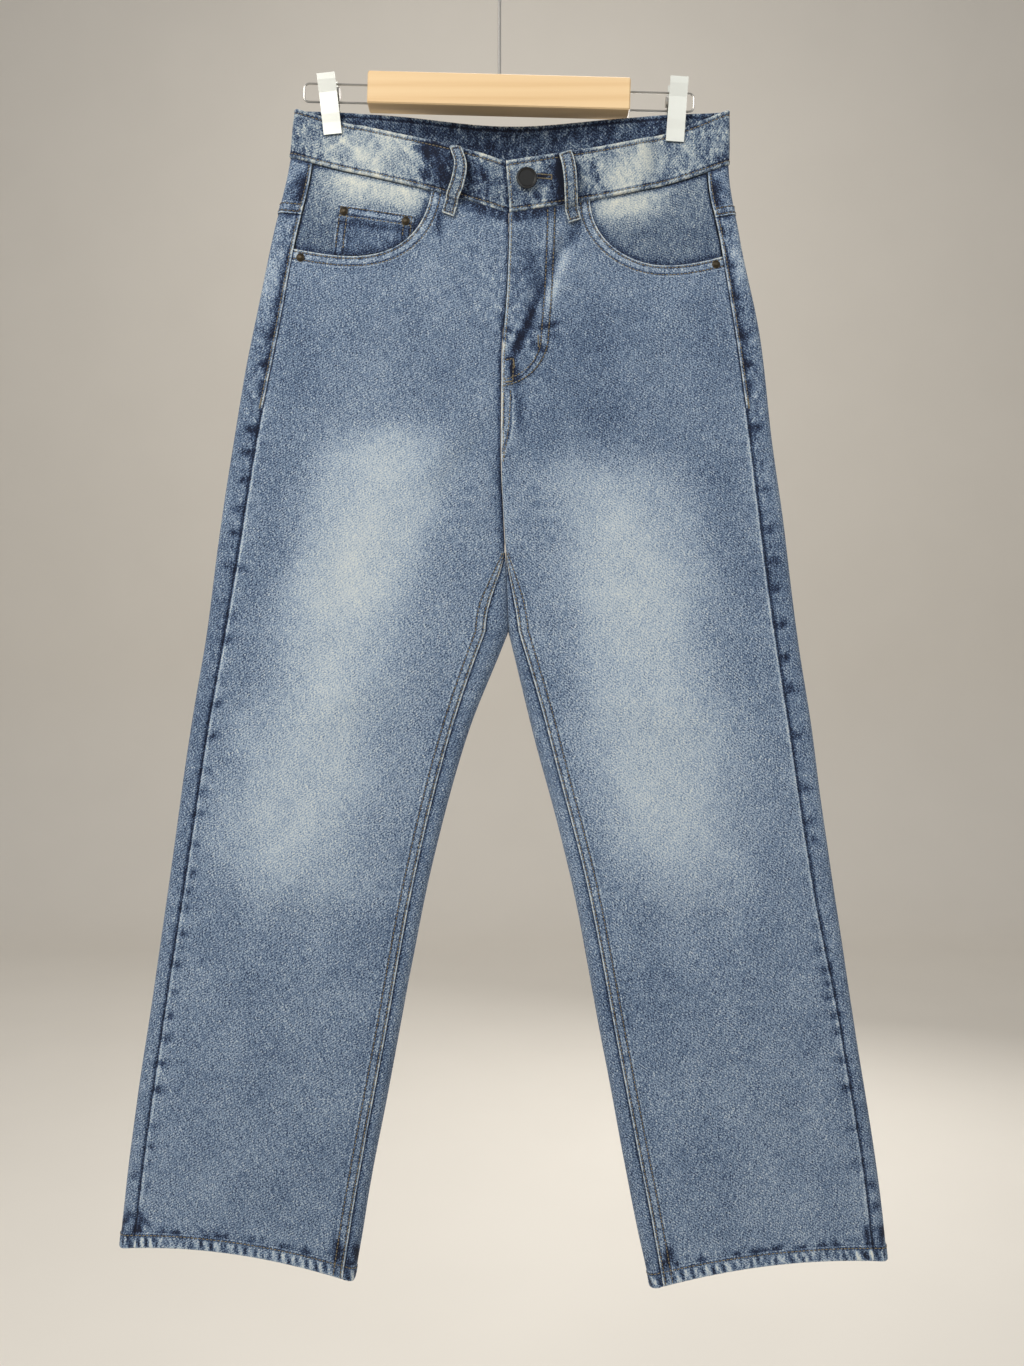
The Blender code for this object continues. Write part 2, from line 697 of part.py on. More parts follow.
# ---- pockets and fly -------------------------------------------------------------------------
def pocket_facing(side):
    """The hip piece that shows in the mouth, one layer down."""
    name = side.name
    edge = mouth_curve(name, FACING_LAP, 14)
    top = ROWS[0]
    clear = FACING_CLEAR
    outline = [(clear, top)] + [(a, top) for a in spaced(clear, edge[0][0], 5)] + edge[:-1]
    outline += [(clear, edge[-1][1])]
    outline += [(clear, d) for d in reversed(spaced(top, edge[-1][1], 4))]
    inside = [
        (a, d)
        for a in (16, 34, 52, 70, 88, 104)
        for d in (16, 32, 48, 64, 78)
        if above_mouth(name, a, d, FACING_LAP - 4)
    ]
    high = -WALL - LAYER_GAP
    sheet = lay(name, outline, lambda a, d: high, lambda a, d: high - WALL, points=inside)
    thicken(f"pocket_facing_{name}", [sheet], "denim_pale")


Coin = namedtuple("Coin", "left right top_left top_right band lean")
COIN = Coin(left=30.0, right=96.5, top_left=30.0, top_right=26.0, band=13.0, lean=5.0)


def coin_pocket():
    """The small pocket on the right facing, its lower edge running under the mouth."""
    name = "right"
    curve = np.array(mouth_curve(name, -COIN_CLEAR, 60))

    def at(share, fall):
        """Across at this share of the width, this far below the top edge."""
        level = COIN.top_left + (COIN.top_right - COIN.top_left) * share + fall
        return (COIN.left + (COIN.right - COIN.left) * share + COIN.lean * fall / 45, level)

    def fall_to_mouth(share):
        fall = 2.0
        while at(share, fall)[1] < np.interp(-at(share, fall)[0], -curve[:, 0], curve[:, 1]):
            fall += 0.5
        return fall - 0.5

    shares = [i / 8 for i in range(9)]
    falls = {share: fall_to_mouth(share) for share in shares}
    outline = [at(share, 0) for share in shares]
    outline += [at(1, COIN.band), at(1, COIN.band + STEP)]
    outline += [at(share, falls[share]) for share in reversed(shares)]
    outline += [at(0, f) for f in (falls[0] * 0.65, COIN.band + STEP, COIN.band)]
    chains = [[at(share, f) for share in shares[1:-1]] for f in (COIN.band, COIN.band + STEP)]
    low = -WALL

    def outer(across, down):
        share = (across - COIN.left) / (COIN.right - COIN.left)
        fall = down - (COIN.top_left + (COIN.top_right - COIN.top_left) * share)
        return low + WALL + HEM_RISE * np.clip((COIN.band + STEP - fall) / STEP, 0, 1)

    sheet = lay(name, outline, outer, lambda a, d: low, chains)
    thicken("coin_pocket", [sheet], "denim")


BackPocket = namedtuple(
    "BackPocket", "centre top slope lean top_width low_width side_depth point_depth band"
)
BACK_POCKET = BackPocket(-112.0, 96.0, 8.0, -0.1, 150.0, 132.0, 128.0, 152.0, 24.0)


def back_pocket(side):
    name = side.name
    pocket = BACK_POCKET

    def at(share, fall):
        half = pocket.top_width / 2
        half += (pocket.low_width - pocket.top_width) / 2 * min(fall / pocket.side_depth, 1)
        level = pocket.top + pocket.slope * (1 - share) / 2
        return (pocket.centre + half * share + pocket.lean * fall, level + fall)

    shares = [i / 6 - 1 for i in range(13)]
    rows = []
    for level in (0, pocket.band, pocket.band + STEP, 60, 94, 1):
        row = []
        for share in shares:
            deep = pocket.side_depth + (pocket.point_depth - pocket.side_depth) * (1 - abs(share))
            row.append(at(share, deep if level == 1 else level))
        rows.append(row)
    outline = around(rows)
    chains = [[row[j] for row in rows[1:-1]] for j in range(1, len(shares) - 1)]
    low = PATCH_GAP

    def outer(across, down):
        share = (across - pocket.centre) / (pocket.top_width / 2)
        fall = down - pocket.top - pocket.slope * (1 - share) / 2
        return low + WALL + HEM_RISE * np.clip((pocket.band + STEP - fall) / STEP, 0, 1)

    sheet = lay(name, outline, outer, lambda a, d: low, chains)
    thicken(f"back_pocket_{name}", [sheet], "denim")


def fly_shield():
    """The strip behind the fly, sewn to the right front and reaching behind the left."""
    name = "left"
    rows = [d for d in ROWS if d < SHIELD_END]
    high = -WALL - SHIELD_GAP

    def across(d, k):
        return front_edge(name, d) - 3 - (SHIELD_WIDTH - 3) * k

    outline = [(across(rows[0], k), rows[0]) for k in (0, 0.33, 0.66, 1)]
    outline += [(across(d, 1), d) for d in rows[1:]]
    outline += [(across(rows[-1], k), rows[-1]) for k in (0.66, 0.33, 0)]
    outline += [(across(d, 0), d) for d in rows[-2:0:-1]]
    chains = [[(across(d, k), d) for d in rows[1:-1]] for k in (0.33, 0.66)]
    sheet = lay(name, outline[::-1], lambda a, d: high, lambda a, d: high - WALL, chains)
    thicken("fly_shield", [sheet], "denim")


# ---- waistband -------------------------------------------------------------------------------
BAND_LEVELS = (WAIST_TOP, WAIST_TOP + BAND_ROLL, -30.0, -15.0, -BAND_ROLL, -SEAM_GAP / 2)
BAND_STEP = 17.0
BAND_EASE = 0.5  # how much each face draws in at the rolled top and bottom edges
TURN_STATIONS = (-13.0, -6.5, -2.0, 2.0, 6.5, 13.0)
UNDERLAP_TUCK = BAND_IN - BAND_OUT - LAYER_GAP


def band_run(name, start, end):
    """Evenly spaced stations on one half, the same number at every level."""
    count = round(abs(section(name, WAIST_SEAM).front_end) / BAND_STEP)
    return [(name, start + (end - start) * i / count, 0.0) for i in range(count + 1)]


def band_stations(down):
    """The strip's stations at one level: which half, how far across, how far tucked in."""
    left, right = section("left", down), section("right", down)
    left_turn = [-outer_edge("left", down) - k for k in TURN_STATIONS]
    right_turn = [-outer_edge("right", down) + k for k in TURN_STATIONS]
    start = right.front_end - UNDERLAP_RAMP
    stations = band_run("left", left.front_end, left_turn[0])
    stations += [("left", a, 0.0) for a in left_turn[1:-1]]
    stations += band_run("left", left_turn[-1], left.back_end)
    stations += band_run("right", right.back_end, right_turn[0])[1:]
    stations += [("right", a, 0.0) for a in right_turn[1:-1]]
    stations += band_run("right", right_turn[-1], start)
    for k in (0.25, 0.5, 0.75, 0.96):
        tuck = UNDERLAP_TUCK * min(k / 0.9, 1) ** 1.5
        stations.append(("right", start + UNDERLAP_RAMP * k, tuck))
    for k in (0.12, 0.4, 0.7, 1.0):
        stations.append(("left", left.front_end - UNDERLAP * k, UNDERLAP_TUCK))
    return stations


def waistband():
    """One strip from the left tab round the back to the right end, which runs on under the tab."""
    rows, normals, outer, inner = [], [], [], []
    for down in BAND_LEVELS:
        stations = band_stations(down)
        ease = BAND_EASE if down in (BAND_LEVELS[0], BAND_LEVELS[-1]) else 0.0
        rows.append([on_cloth(n, a, down) for n, a, _ in stations])
        normals += [outward(n, a, down) for n, a, _ in stations]
        outer += [BAND_OUT - ease + tuck for _, _, tuck in stations]
        inner += [BAND_IN + ease + tuck for _, _, tuck in stations]
    places, faces = grid(rows)
    sheet = Sheet(places, normals, outer, inner, [f[::-1] for f in faces])
    thicken("waistband", [sheet], "denim")


# ---- belt loops ------------------------------------------------------------------------------
LOOP_WIDTH, LOOP_WALL, LOOP_ARCH, LOOP_FOLD = 11.0, 1.8, 6.2, 9.0
LOOP_FOLD_RISE, LOOP_CROWN = 1.2, 0.2
LOOP_SEWN = 3.0  # the length sewn flat at each end
LOOP_LEVELS = (-43.4, -29.0, -13.0, 3.0, 18.5)
Loop = namedtuple("Loop", "name side across")
BELT_LOOPS = (
    # across: where the strap's centre line is at each of the levels above
    Loop("belt_loop_front_right", "right", (131.0, 136.0, 133.0, 127.0, 125.0)),
    Loop("belt_loop_front_left", "left", (131.0, 128.5, 126.0, 123.5, 121.0)),
    Loop("belt_loop_side_right", "right", (-33.0, -33.5, -34.0, -35.0, -36.0)),
    Loop("belt_loop_side_left", "left", (-35.0, -35.0, -36.0, -37.0, -38.0)),
    Loop("belt_loop_back", "centre", (0.0, 0.6, 0.4, 0.0, -0.4)),
)


def loop_place(side, across, down, height):
    if side != "centre":
        return on_cloth(side, across, down) + height * outward(side, across, down)
    name = "right" if across < 0 else "left"
    at = back_edge(name, down) + abs(across)
    return on_cloth(name, at, down) + height * outward(name, at, down)


def loop_base(loop, down):
    """How far the cloth under a strap stands out: the band, and the seat seam's ridge."""
    base = BAND_OUT * np.clip(1 - (down - 2.5) / LOOP_SEWN, 0, 1)
    return max(base, FELL_RISE) if loop.side == "centre" else base


def belt_loop(loop):
    """A strap sewn down at both ends, arched clear of the band between them."""
    route = np.array(list(zip(loop.across, LOOP_LEVELS)), float)
    run = np.concatenate([[0], np.cumsum(np.hypot(*np.diff(route, axis=0).T))])
    length = run[-1]
    marks = [0, LOOP_SEWN, 6, 10, 16, 24, 32, 40, 46, 50]
    marks += [length - LOOP_FOLD - STEP, length - LOOP_FOLD, length]
    arched = length - LOOP_FOLD - 5 - LOOP_SEWN
    half = LOOP_WIDTH / 2
    turned_over = -1 if loop.side == "left" else 1
    rings = []
    for mark in marks:
        ahead, behind = min(mark + 1, length), max(mark - 1, 0)
        centre, after, before = (
            np.array([smooth_between(run, route[:, i], at) for i in range(2)])
            for at in (mark, ahead, behind)
        )
        along = (after - before) / np.linalg.norm(after - before)
        sideways = np.array([along[1], -along[0]]) * turned_over
        share = np.clip((mark - LOOP_SEWN) / arched, 0, 1)
        arch = LOOP_ARCH * math.sin(math.pi * share) ** 0.6 if 0 < share < 1 else 0.0
        low = loop_base(loop, centre[1]) + LAYER_GAP + arch
        high = low + LOOP_WALL + (LOOP_FOLD_RISE if mark >= length - LOOP_FOLD else 0)
        corners = [(-half, low), (0, low), (half, low)]
        corners += [(half, high), (0, high + LOOP_CROWN), (-half, high)]
        rings.append([loop_place(loop.side, *(centre + sideways * k), h) for k, h in corners])
    loft(loop.name, rings, "denim")


def smooth_between(x, y, at):
    """A smooth curve through a few values, by the weighted slopes on either side."""
    slope = np.gradient(y, x)
    i = int(np.clip(np.searchsorted(x, at, "right") - 1, 0, len(x) - 2))
    run = x[i + 1] - x[i]
    u = (at - x[i]) / run
    return (
        (1 + 2 * u) * (1 - u) ** 2 * y[i]
        + u * (1 - u) ** 2 * run * slope[i]
        + u * u * (3 - 2 * u) * y[i + 1]
        + u * u * (u - 1) * run * slope[i + 1]
    )


# ---- button and rivets -----------------------------------------------------------------------
def turned(name, side, across, down, height, profile, material, sides=20):
    """A small round piece on the cloth: rings of (radius, rise), closed at both ends."""
    centre = on_cloth(side, across, down)
    normal = outward(side, across, down)
    first = np.cross((0, 0, 1), normal)
    first /= np.linalg.norm(first)
    second = np.cross(normal, first)
    rings = []
    for radius, rise in profile:
        ring = []
        for i in range(sides):
            angle = 2 * math.pi * i / sides
            spoke = first * math.cos(angle) + second * math.sin(angle)
            ring.append(centre + spoke * radius + normal * (height + rise))
        rings.append(ring)
    loft(name, rings, material)


BUTTON_ACROSS, BUTTON_DOWN = 163.5, -26.0
# radius, and rise over the cloth, from the stem round the rim to the dished middle
BUTTON_PROFILE = (
    (4.0, 0.0),
    (4.0, 1.6),
    (7.6, 1.9),
    (8.6, 2.5),
    (8.8, 3.3),
    (8.3, 3.9),
    (7.2, 3.7),
    (6.4, 3.1),
)
RIVET_PROFILE = ((3.6, 0), (3.6, 0.35), (2.4, 0.8), (2.0, 1.2), (1.1, 1.5))
Rivet = namedtuple("Rivet", "name side across down height")
RIVETS = (
    Rivet("rivet_mouth_right", "right", 8.0, 81.5, LAYER_GAP),
    Rivet("rivet_mouth_left", "left", 7.5, 87.5, LAYER_GAP),
    Rivet("rivet_coin_outer", "right", 36.0, 35.5, HEM_RISE + LAYER_GAP),
    Rivet("rivet_coin_inner", "right", 90.5, 33.0, HEM_RISE + LAYER_GAP),
)


def button_and_rivets():
    height = BAND_OUT + LAYER_GAP
    turned("button", "left", BUTTON_ACROSS, BUTTON_DOWN, height, BUTTON_PROFILE, "button")
    for rivet in RIVETS:
        turned(*rivet[:5], RIVET_PROFILE, "antique_brass", sides=12)


# ---- hanger ----------------------------------------------------------------------------------
def tube(name, route, thickness, material, sides_half=3):
    """A round wire along a route, as a curve with filled caps."""
    data = bpy.data.curves.new(name, "CURVE")
    data.dimensions = "3D"
    data.bevel_depth = thickness / 2 * MM
    data.bevel_resolution = sides_half
    data.use_fill_caps = True
    spline = data.splines.new("POLY")
    spline.points.add(len(route) - 1)
    for point, (x, y, z) in zip(spline.points, route):
        point.co = (x * MM, y * MM, z * MM, 1)
    data.materials.append(material_named(material))
    made = bpy.data.objects.new(name, data)
    bpy.context.scene.collection.objects.link(made)


def arc(centre, radius, start, end, count):
    """Points on a circle in the plane of X and Z, the angles in degrees from +X."""
    angles = [math.radians(start + (end - start) * i / count) for i in range(count + 1)]
    return [(centre[0] + radius * math.cos(a), 0, centre[1] + radius * math.sin(a)) for a in angles]


def bezier(p, q, r, s, count):
    points = []
    for i in range(count + 1):
        u = i / count
        w = ((1 - u) ** 3, 3 * u * (1 - u) ** 2, 3 * u * u * (1 - u), u**3)
        points.append(tuple(np.dot(w, (p, q, r, s))))
    return points


def tilted(x, z):
    """A place given from the middle of the block's top face, turned with the block."""
    angle = math.radians(-BLOCK_TILT)
    return (
        x * math.cos(angle) - z * math.sin(angle),
        BLOCK_TOP + x * math.sin(angle) + z * math.cos(angle),
    )


def hanger_block():
    """A pine bar with eased edges."""
    rings = []
    half, deep, ease = BLOCK_LENGTH / 2, BLOCK_DEPTH / 2, BLOCK_EDGE
    for x, inset in ((-half, ease), (-half + ease, 0), (half - ease, 0), (half, ease)):
        y, top, low = deep - inset, -inset, -BLOCK_HEIGHT + inset
        chain = [(-y + ease, top), (y - ease, top), (y, top - ease), (y, low + ease)]
        chain += [(y - ease, low), (-y + ease, low), (-y, low + ease), (-y, top - ease)]
        ring = []
        for y_at, z_at in chain:
            across, up = tilted(x, z_at)
            ring.append((across, y_at, up))
        rings.append(ring)
    loft("hanger_bar", rings, "pine", smooth=20)


def hanger_hook():
    """A question mark of wire, whose inside top is the origin."""
    round_part = arc((0, HOOK_WIRE / 2 - HOOK_RADIUS), HOOK_RADIUS, HOOK_OPEN, HOOK_TIP, 20)
    start = round_part[0]
    angle = math.radians(HOOK_OPEN)
    below = (start[0] + HOOK_BEND * math.sin(angle), 0, start[2] - HOOK_BEND * math.cos(angle))
    foot = BLOCK_TOP + LAYER_GAP
    stem = [(0, 0, foot + (HOOK_STEM_TOP - foot) * i / 6) for i in range(7)]
    bend = bezier(stem[-1], (0, 0, HOOK_STEM_TOP + HOOK_BEND), below, start, 7)
    tube("hanger_hook", stem + bend[1:-1] + round_part, HOOK_WIRE, "steel")


def wire_frame(name, direction):
    """A loop of wire that runs out of the block's end and back into it, and carries the clip."""
    start = BLOCK_LENGTH / 2 + LAYER_GAP
    end = BLOCK_LENGTH / 2 + FRAME_REACH
    route = [(start + (end - FRAME_CORNER - start) * i / 3, FRAME_UPPER) for i in range(4)]
    for i in range(1, 5):
        angle = math.pi / 2 * i / 4
        x = end - FRAME_CORNER * (1 - math.sin(angle))
        route.append((x, FRAME_UPPER - FRAME_CORNER * (1 - math.cos(angle))))
    route += [(x, FRAME_UPPER + FRAME_LOWER - z) for x, z in reversed(route)]
    places = [tilted(direction * x, z) for x, z in route]
    tube(name, [(x, 0, z) for x, z in places], FRAME_WIRE, "steel", 2)


def clip_plate(clip, label, direction):
    """One of a clip's two plates, bent towards the other from the handle to the jaw."""
    height = clip.top - clip.bottom
    lean = math.radians(clip.lean)
    half = CLIP_WIDTH / 2
    rings = []
    for share, gap in CLIP_BENDS:
        fall = height * share
        ring = []
        for x, y in ((-half, gap), (half, gap), (half, gap + CLIP_WALL), (-half, gap + CLIP_WALL)):
            x_at = clip.x + (fall - height / 2) * math.sin(lean) + x * math.cos(lean)
            z_at = clip.top - fall * math.cos(lean) + x * math.sin(lean)
            ring.append((x_at, direction * y, z_at))
        rings.append(ring)
    loft(f"clip_{clip.name}_{label}", rings, "steel", smooth=40)


def clip_spring(clip):
    """The barrel of a clip's spring, between its plates and between the two wires."""
    middle = (FRAME_UPPER + FRAME_LOWER) / 2
    rings = []
    for shift in (-SPRING_LENGTH / 2, SPRING_LENGTH / 2):
        ring = []
        for i in range(16):
            angle = 2 * math.pi * i / 16
            x, z = tilted(clip.x + shift, middle + SPRING_RADIUS * math.sin(angle))
            ring.append((x, SPRING_RADIUS * math.cos(angle), z))
        rings.append(ring)
    loft(f"clip_{clip.name}_spring", rings, "steel", smooth=40)


def hanger():
    hanger_block()
    hanger_hook()
    wire_frame("hanger_wire_right", -1)
    wire_frame("hanger_wire_left", 1)
    for clip in CLIPS:
        clip_plate(clip, "front", -1)
        clip_plate(clip, "back", 1)
        clip_spring(clip)


# ---- build -----------------------------------------------------------------------------------
def clear_scene():
    for found in list(bpy.data.objects):
        bpy.data.objects.remove(found, do_unlink=True)


def main():
    clear_scene()
    for side in SIDES:
        front_panel(side)
        back_panel(side)
        yoke(side)
        pocket_facing(side)
        back_pocket(side)
    coin_pocket()
    fly_shield()
    waistband()
    for loop in BELT_LOOPS:
        belt_loop(loop)
    button_and_rivets()
    hanger()


main()
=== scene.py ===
"""Looks for the straight leg jeans on their clip hanger: cloth, sewing, metal, wood, light, camera.

Sizes are in millimetres and turn into metres where a mesh is made. A place on a half of the
garment is (across, down): across along the cloth from the outseam, positive over the front and
negative round the outer edge over the back; down along the outseam from the waist seam.
"""

import math
from collections import namedtuple

import bpy
import numpy as np
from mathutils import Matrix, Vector


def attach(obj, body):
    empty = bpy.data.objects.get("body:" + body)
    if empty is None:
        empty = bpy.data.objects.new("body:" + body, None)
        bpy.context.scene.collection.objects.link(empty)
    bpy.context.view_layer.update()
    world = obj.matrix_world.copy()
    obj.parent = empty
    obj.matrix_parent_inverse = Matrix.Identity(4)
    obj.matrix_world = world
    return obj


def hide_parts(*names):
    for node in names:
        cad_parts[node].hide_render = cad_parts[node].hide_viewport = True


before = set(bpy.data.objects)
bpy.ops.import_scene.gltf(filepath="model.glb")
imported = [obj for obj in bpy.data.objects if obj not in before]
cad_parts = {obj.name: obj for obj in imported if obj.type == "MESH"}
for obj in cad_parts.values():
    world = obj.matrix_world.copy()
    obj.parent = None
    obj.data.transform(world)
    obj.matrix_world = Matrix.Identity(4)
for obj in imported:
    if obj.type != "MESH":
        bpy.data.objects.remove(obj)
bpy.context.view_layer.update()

MM = 0.001

# ---- the cut and the hang, as in the solids --------------------------------------------------
WALL, SEAM_GAP, LAYER_GAP = 1.2, 0.3, 0.3
SEAM_SIDE = SEAM_GAP / 2
BAND_HEIGHT, BAND_OUT, BAND_IN = 44.0, 0.6, -1.7
UNDERLAP, UNDERLAP_RAMP = 40.0, 26.0
HEM_HEIGHT, HEM_RISE = 12.0, 0.6
FELL_WIDTH, FELL_RISE, STEP = 9.0, 0.6, 0.9
FLY_WIDTH, FLY_STRAIGHT, FLY_END, FLY_RISE = 39.0, 132.0, 174.0, 0.7
TOPSTITCH, TOPSTITCH_END, TACK_END = -2.2, 205.0, 214.0
YOKE_SIDE, YOKE_CENTRE, YOKE_WIDTH = 45.0, 72.0, 212.0
WAIST_TOP, HEM_EDGE = -BAND_HEIGHT, 934.0
HEM_ROW_DOWN = HEM_EDGE - 11.4
FRONT_CROTCH, FORK, TONGUE_TIP, SADDLE = 328.0, 401.0, 336.0, 10.0


def rows_of(kind, *rows):
    return [kind(*row) for row in rows]


def by_side(kind, **rows):
    return {side: rows_of(kind, *rows[side]) for side in rows}


Outer = namedtuple("Outer", "down x z outseam inseam front_bow back_bow")
OUTER = by_side(
    Outer,
    right=(
        (-44, -174.5, -142.0, 15.0, 0.0, -0.10, 0.60),
        (0, -178.6, -184.0, 19.0, 0.0, -0.10, 0.20),
        (66, -193.7, -249.8, 20.0, 0.0, 0.0, 0.0),
        (158, -212.5, -342.2, 22.0, 0.0, 0.0, 0.0),
        (241, -227.0, -424.3, 20.7, 0.0, 0.0, 0.0),
        (328, -239.9, -510.4, 19.8, 0.0, 0.0, 0.0),
        (401, -249.3, -582.5, 17.2, 19.0, 0.0, 0.0),
        (490, -263.8, -670.6, 16.0, 14.6, 0.0, 0.0),
        (614, -280.9, -793.7, 14.7, 12.0, 0.0, 0.0),
        (738, -298.9, -916.9, 13.4, 10.6, -0.1, 0.0),
        (862, -316.8, -1040.0, 14.0, 10.2, -0.6, -0.3),
        (934, -324.5, -1112.7, 13.5, 9.5, -1.75, -1.2),
    ),
    left=(
        (-44, 196.2, -142.8, 18.5, 0.0, 0.45, 2.0),
        (0, 196.0, -190.0, 18.3, 0.0, 0.45, 0.20),
        (66, 204.8, -249.8, 17.1, 0.0, 0.3, 0.0),
        (158, 223.6, -342.2, 21.1, 0.0, 0.15, 0.0),
        (241, 233.0, -424.3, 19.8, 0.0, 0.0, 0.0),
        (328, 244.7, -510.4, 21.1, 0.0, 0.0, 0.0),
        (401, 253.6, -582.5, 20.4, 8.5, 0.0, 0.0),
        (490, 267.3, -676.6, 19.9, 12.6, 0.0, 0.0),
        (614, 284.4, -800.6, 18.4, 12.3, 0.0, 0.0),
        (738, 303.2, -924.6, 13.4, 12.6, -0.1, 0.0),
        (862, 322.9, -1050.3, 12.6, 13.0, -0.6, -0.3),
        (934, 331.4, -1123.8, 13.0, 10.5, -1.95, -1.2),
    ),
)
Centre = namedtuple("Centre", "down x front_z back_z")
CENTRE = rows_of(
    Centre,
    (-44, 5.3, -197.3, -147.0),
    (0, 8.3, -239.0, -190.5),
    (66, 6.8, -292.0, -254.0),
    (158, 1.8, -369.0, -346.0),
    (241, 1.3, -440.0, -428.0),
    (328, 4.9, -514.0, -514.0),
    (401, 7.6, -588.0, -588.0),
)
Inner = namedtuple("Inner", "down x z")
INNER = by_side(
    Inner,
    right=(
        (401, 7.6, -588.0),
        (490, -28.6, -681.7),
        (614, -62.0, -808.3),
        (738, -87.6, -940.8),
        (862, -111.6, -1069.1),
        (934, -123.8, -1141.8),
    ),
    left=(
        (401, 7.6, -588.0),
        (490, 30.4, -681.7),
        (614, 62.9, -808.3),
        (738, 87.7, -940.8),
        (862, 112.0, -1069.1),
        (934, 128.7, -1147.8),
    ),
)
Depth = namedtuple("Depth", "down edge inner front back front_power back_power groove")
DEPTH = rows_of(
    Depth,
    (-44, 3.2, 10, 24, 17, 3.0, 6.0, 0.0),
    (0, 4.2, 10, 19, 21, 2.4, 4.0, 0.0),
    (66, 5.0, 10, 14, 25, 1.6, 2.0, 0.0),
    (158, 6.0, 10, 10, 27, 1.2, 1.3, 0.0),
    (241, 6.5, 10, 8, 20, 1.0, 1.0, 0.12),
    (328, 7.0, 10, 7, 10, 1.0, 1.0, 0.48),
    (401, 7.0, 9, 6, 7, 1.0, 1.0, 0.7),
    (490, 7.0, 7, 6, 6, 1.0, 1.0, 1.0),
    (934, 7.0, 7, 6, 6, 1.0, 1.0, 1.0),
)
SIGN = {"right": -1, "left": 1}
CLIP_X = (-144.6, 151.1)
PINCH_ALONG, PINCH_DOWN, PINCHED = 23.0, 40.0, 2.3
TURN_COUNT, FACE_COUNT = 13, 60

Fold = namedtuple("Fold", "across down to_across to_down width height")
FOLDS = by_side(
    Fold,
    right=(
        (196, 196, 160, 310, 14, -1.8), (176, 190, 140, 290, 15, 1.6), (30, 92, 110, 150, 13, 1.3),
        (60, 470, 190, 430, 22, 1.8), (50, 640, 150, 660, 24, -1.6),
        (-215, 270, -120, 335, 14, 2.4), (-225, 315, -150, 372, 11, -2.0),
        (-60, 560, -190, 590, 22, -2.0), (-80, 640, -180, 655, 22, 1.6),
    ),
    left=(
        (116, 20, 150, 74, 7, -1.6), (146, 52, 182, 128, 8, -2.2), (160, 62, 190, 140, 8, 1.6),
        (186, 190, 150, 300, 15, 1.8), (200, 200, 175, 330, 10, -1.6), (30, 100, 100, 170, 13, 1.2),
        (60, 480, 190, 436, 22, 1.8), (60, 650, 160, 640, 24, -1.6),
        (-215, 262, -110, 322, 14, 2.2), (-222, 305, -140, 360, 11, -2.0),
        (-70, 575, -200, 560, 22, -2.0), (-70, 655, -170, 640, 22, 1.6),
    ),
)


def curve_through(x, y, slopes, at):
    """The smooth curve through the values y at x, with these slopes there."""
    i = np.clip(np.searchsorted(x, at, "right") - 1, 0, len(x) - 2)
    run = x[i + 1] - x[i]
    u = (at - x[i]) / run
    return (
        (1 + 2 * u) * (1 - u) ** 2 * y[i]
        + u * (1 - u) ** 2 * run * slopes[i]
        + u * u * (3 - 2 * u) * y[i + 1]
        + u * u * (u - 1) * run * slopes[i + 1]
    )


def monotone(rows, field, at):
    """The field's value between the rows, on a curve with no overshoot."""
    x = np.array([row.down for row in rows], float)
    y = np.array([getattr(row, field) for row in rows], float)
    run = np.diff(x)
    slope = np.diff(y) / run
    tangent = np.zeros_like(y)
    for i in range(1, len(x) - 1):
        if slope[i - 1] * slope[i] > 0:
            before, after = 2 * run[i] + run[i - 1], run[i] + 2 * run[i - 1]
            tangent[i] = (before + after) / (before / slope[i - 1] + after / slope[i])
    tangent[0], tangent[-1] = slope[0], slope[-1]
    return curve_through(x, y, tangent, at)


def row_at(rows, down):
    kind = type(rows[0])
    return kind(down, *(monotone(rows, field, down) for field in kind._fields[1:]))


def unit(value):
    return np.clip(value, 0, 1)


def bell(distance, reach, power=2):
    """1 at no distance, falling off softly round the reach; a higher power gives a flatter top."""
    return np.exp(-((distance / reach) ** power))


def step_up(inside):
    """From 0 to 1 over the step before a doubled layer's edge."""
    return unit((inside + STEP) / STEP)


def rolled(inside, deep, reach):
    """How far a folded edge turns under, by the distance inside it."""
    return -deep * unit(1 - inside / reach) ** 2


def run_along(points):
    """How far along a line of points each of them lies."""
    steps = np.linalg.norm(np.diff(points, axis=0), axis=1)
    return np.concatenate([[0], np.cumsum(steps)])


def rounded(distance, radius):
    return np.sqrt(unit(1 - (np.clip(radius - distance, 0, None) / radius) ** 2))


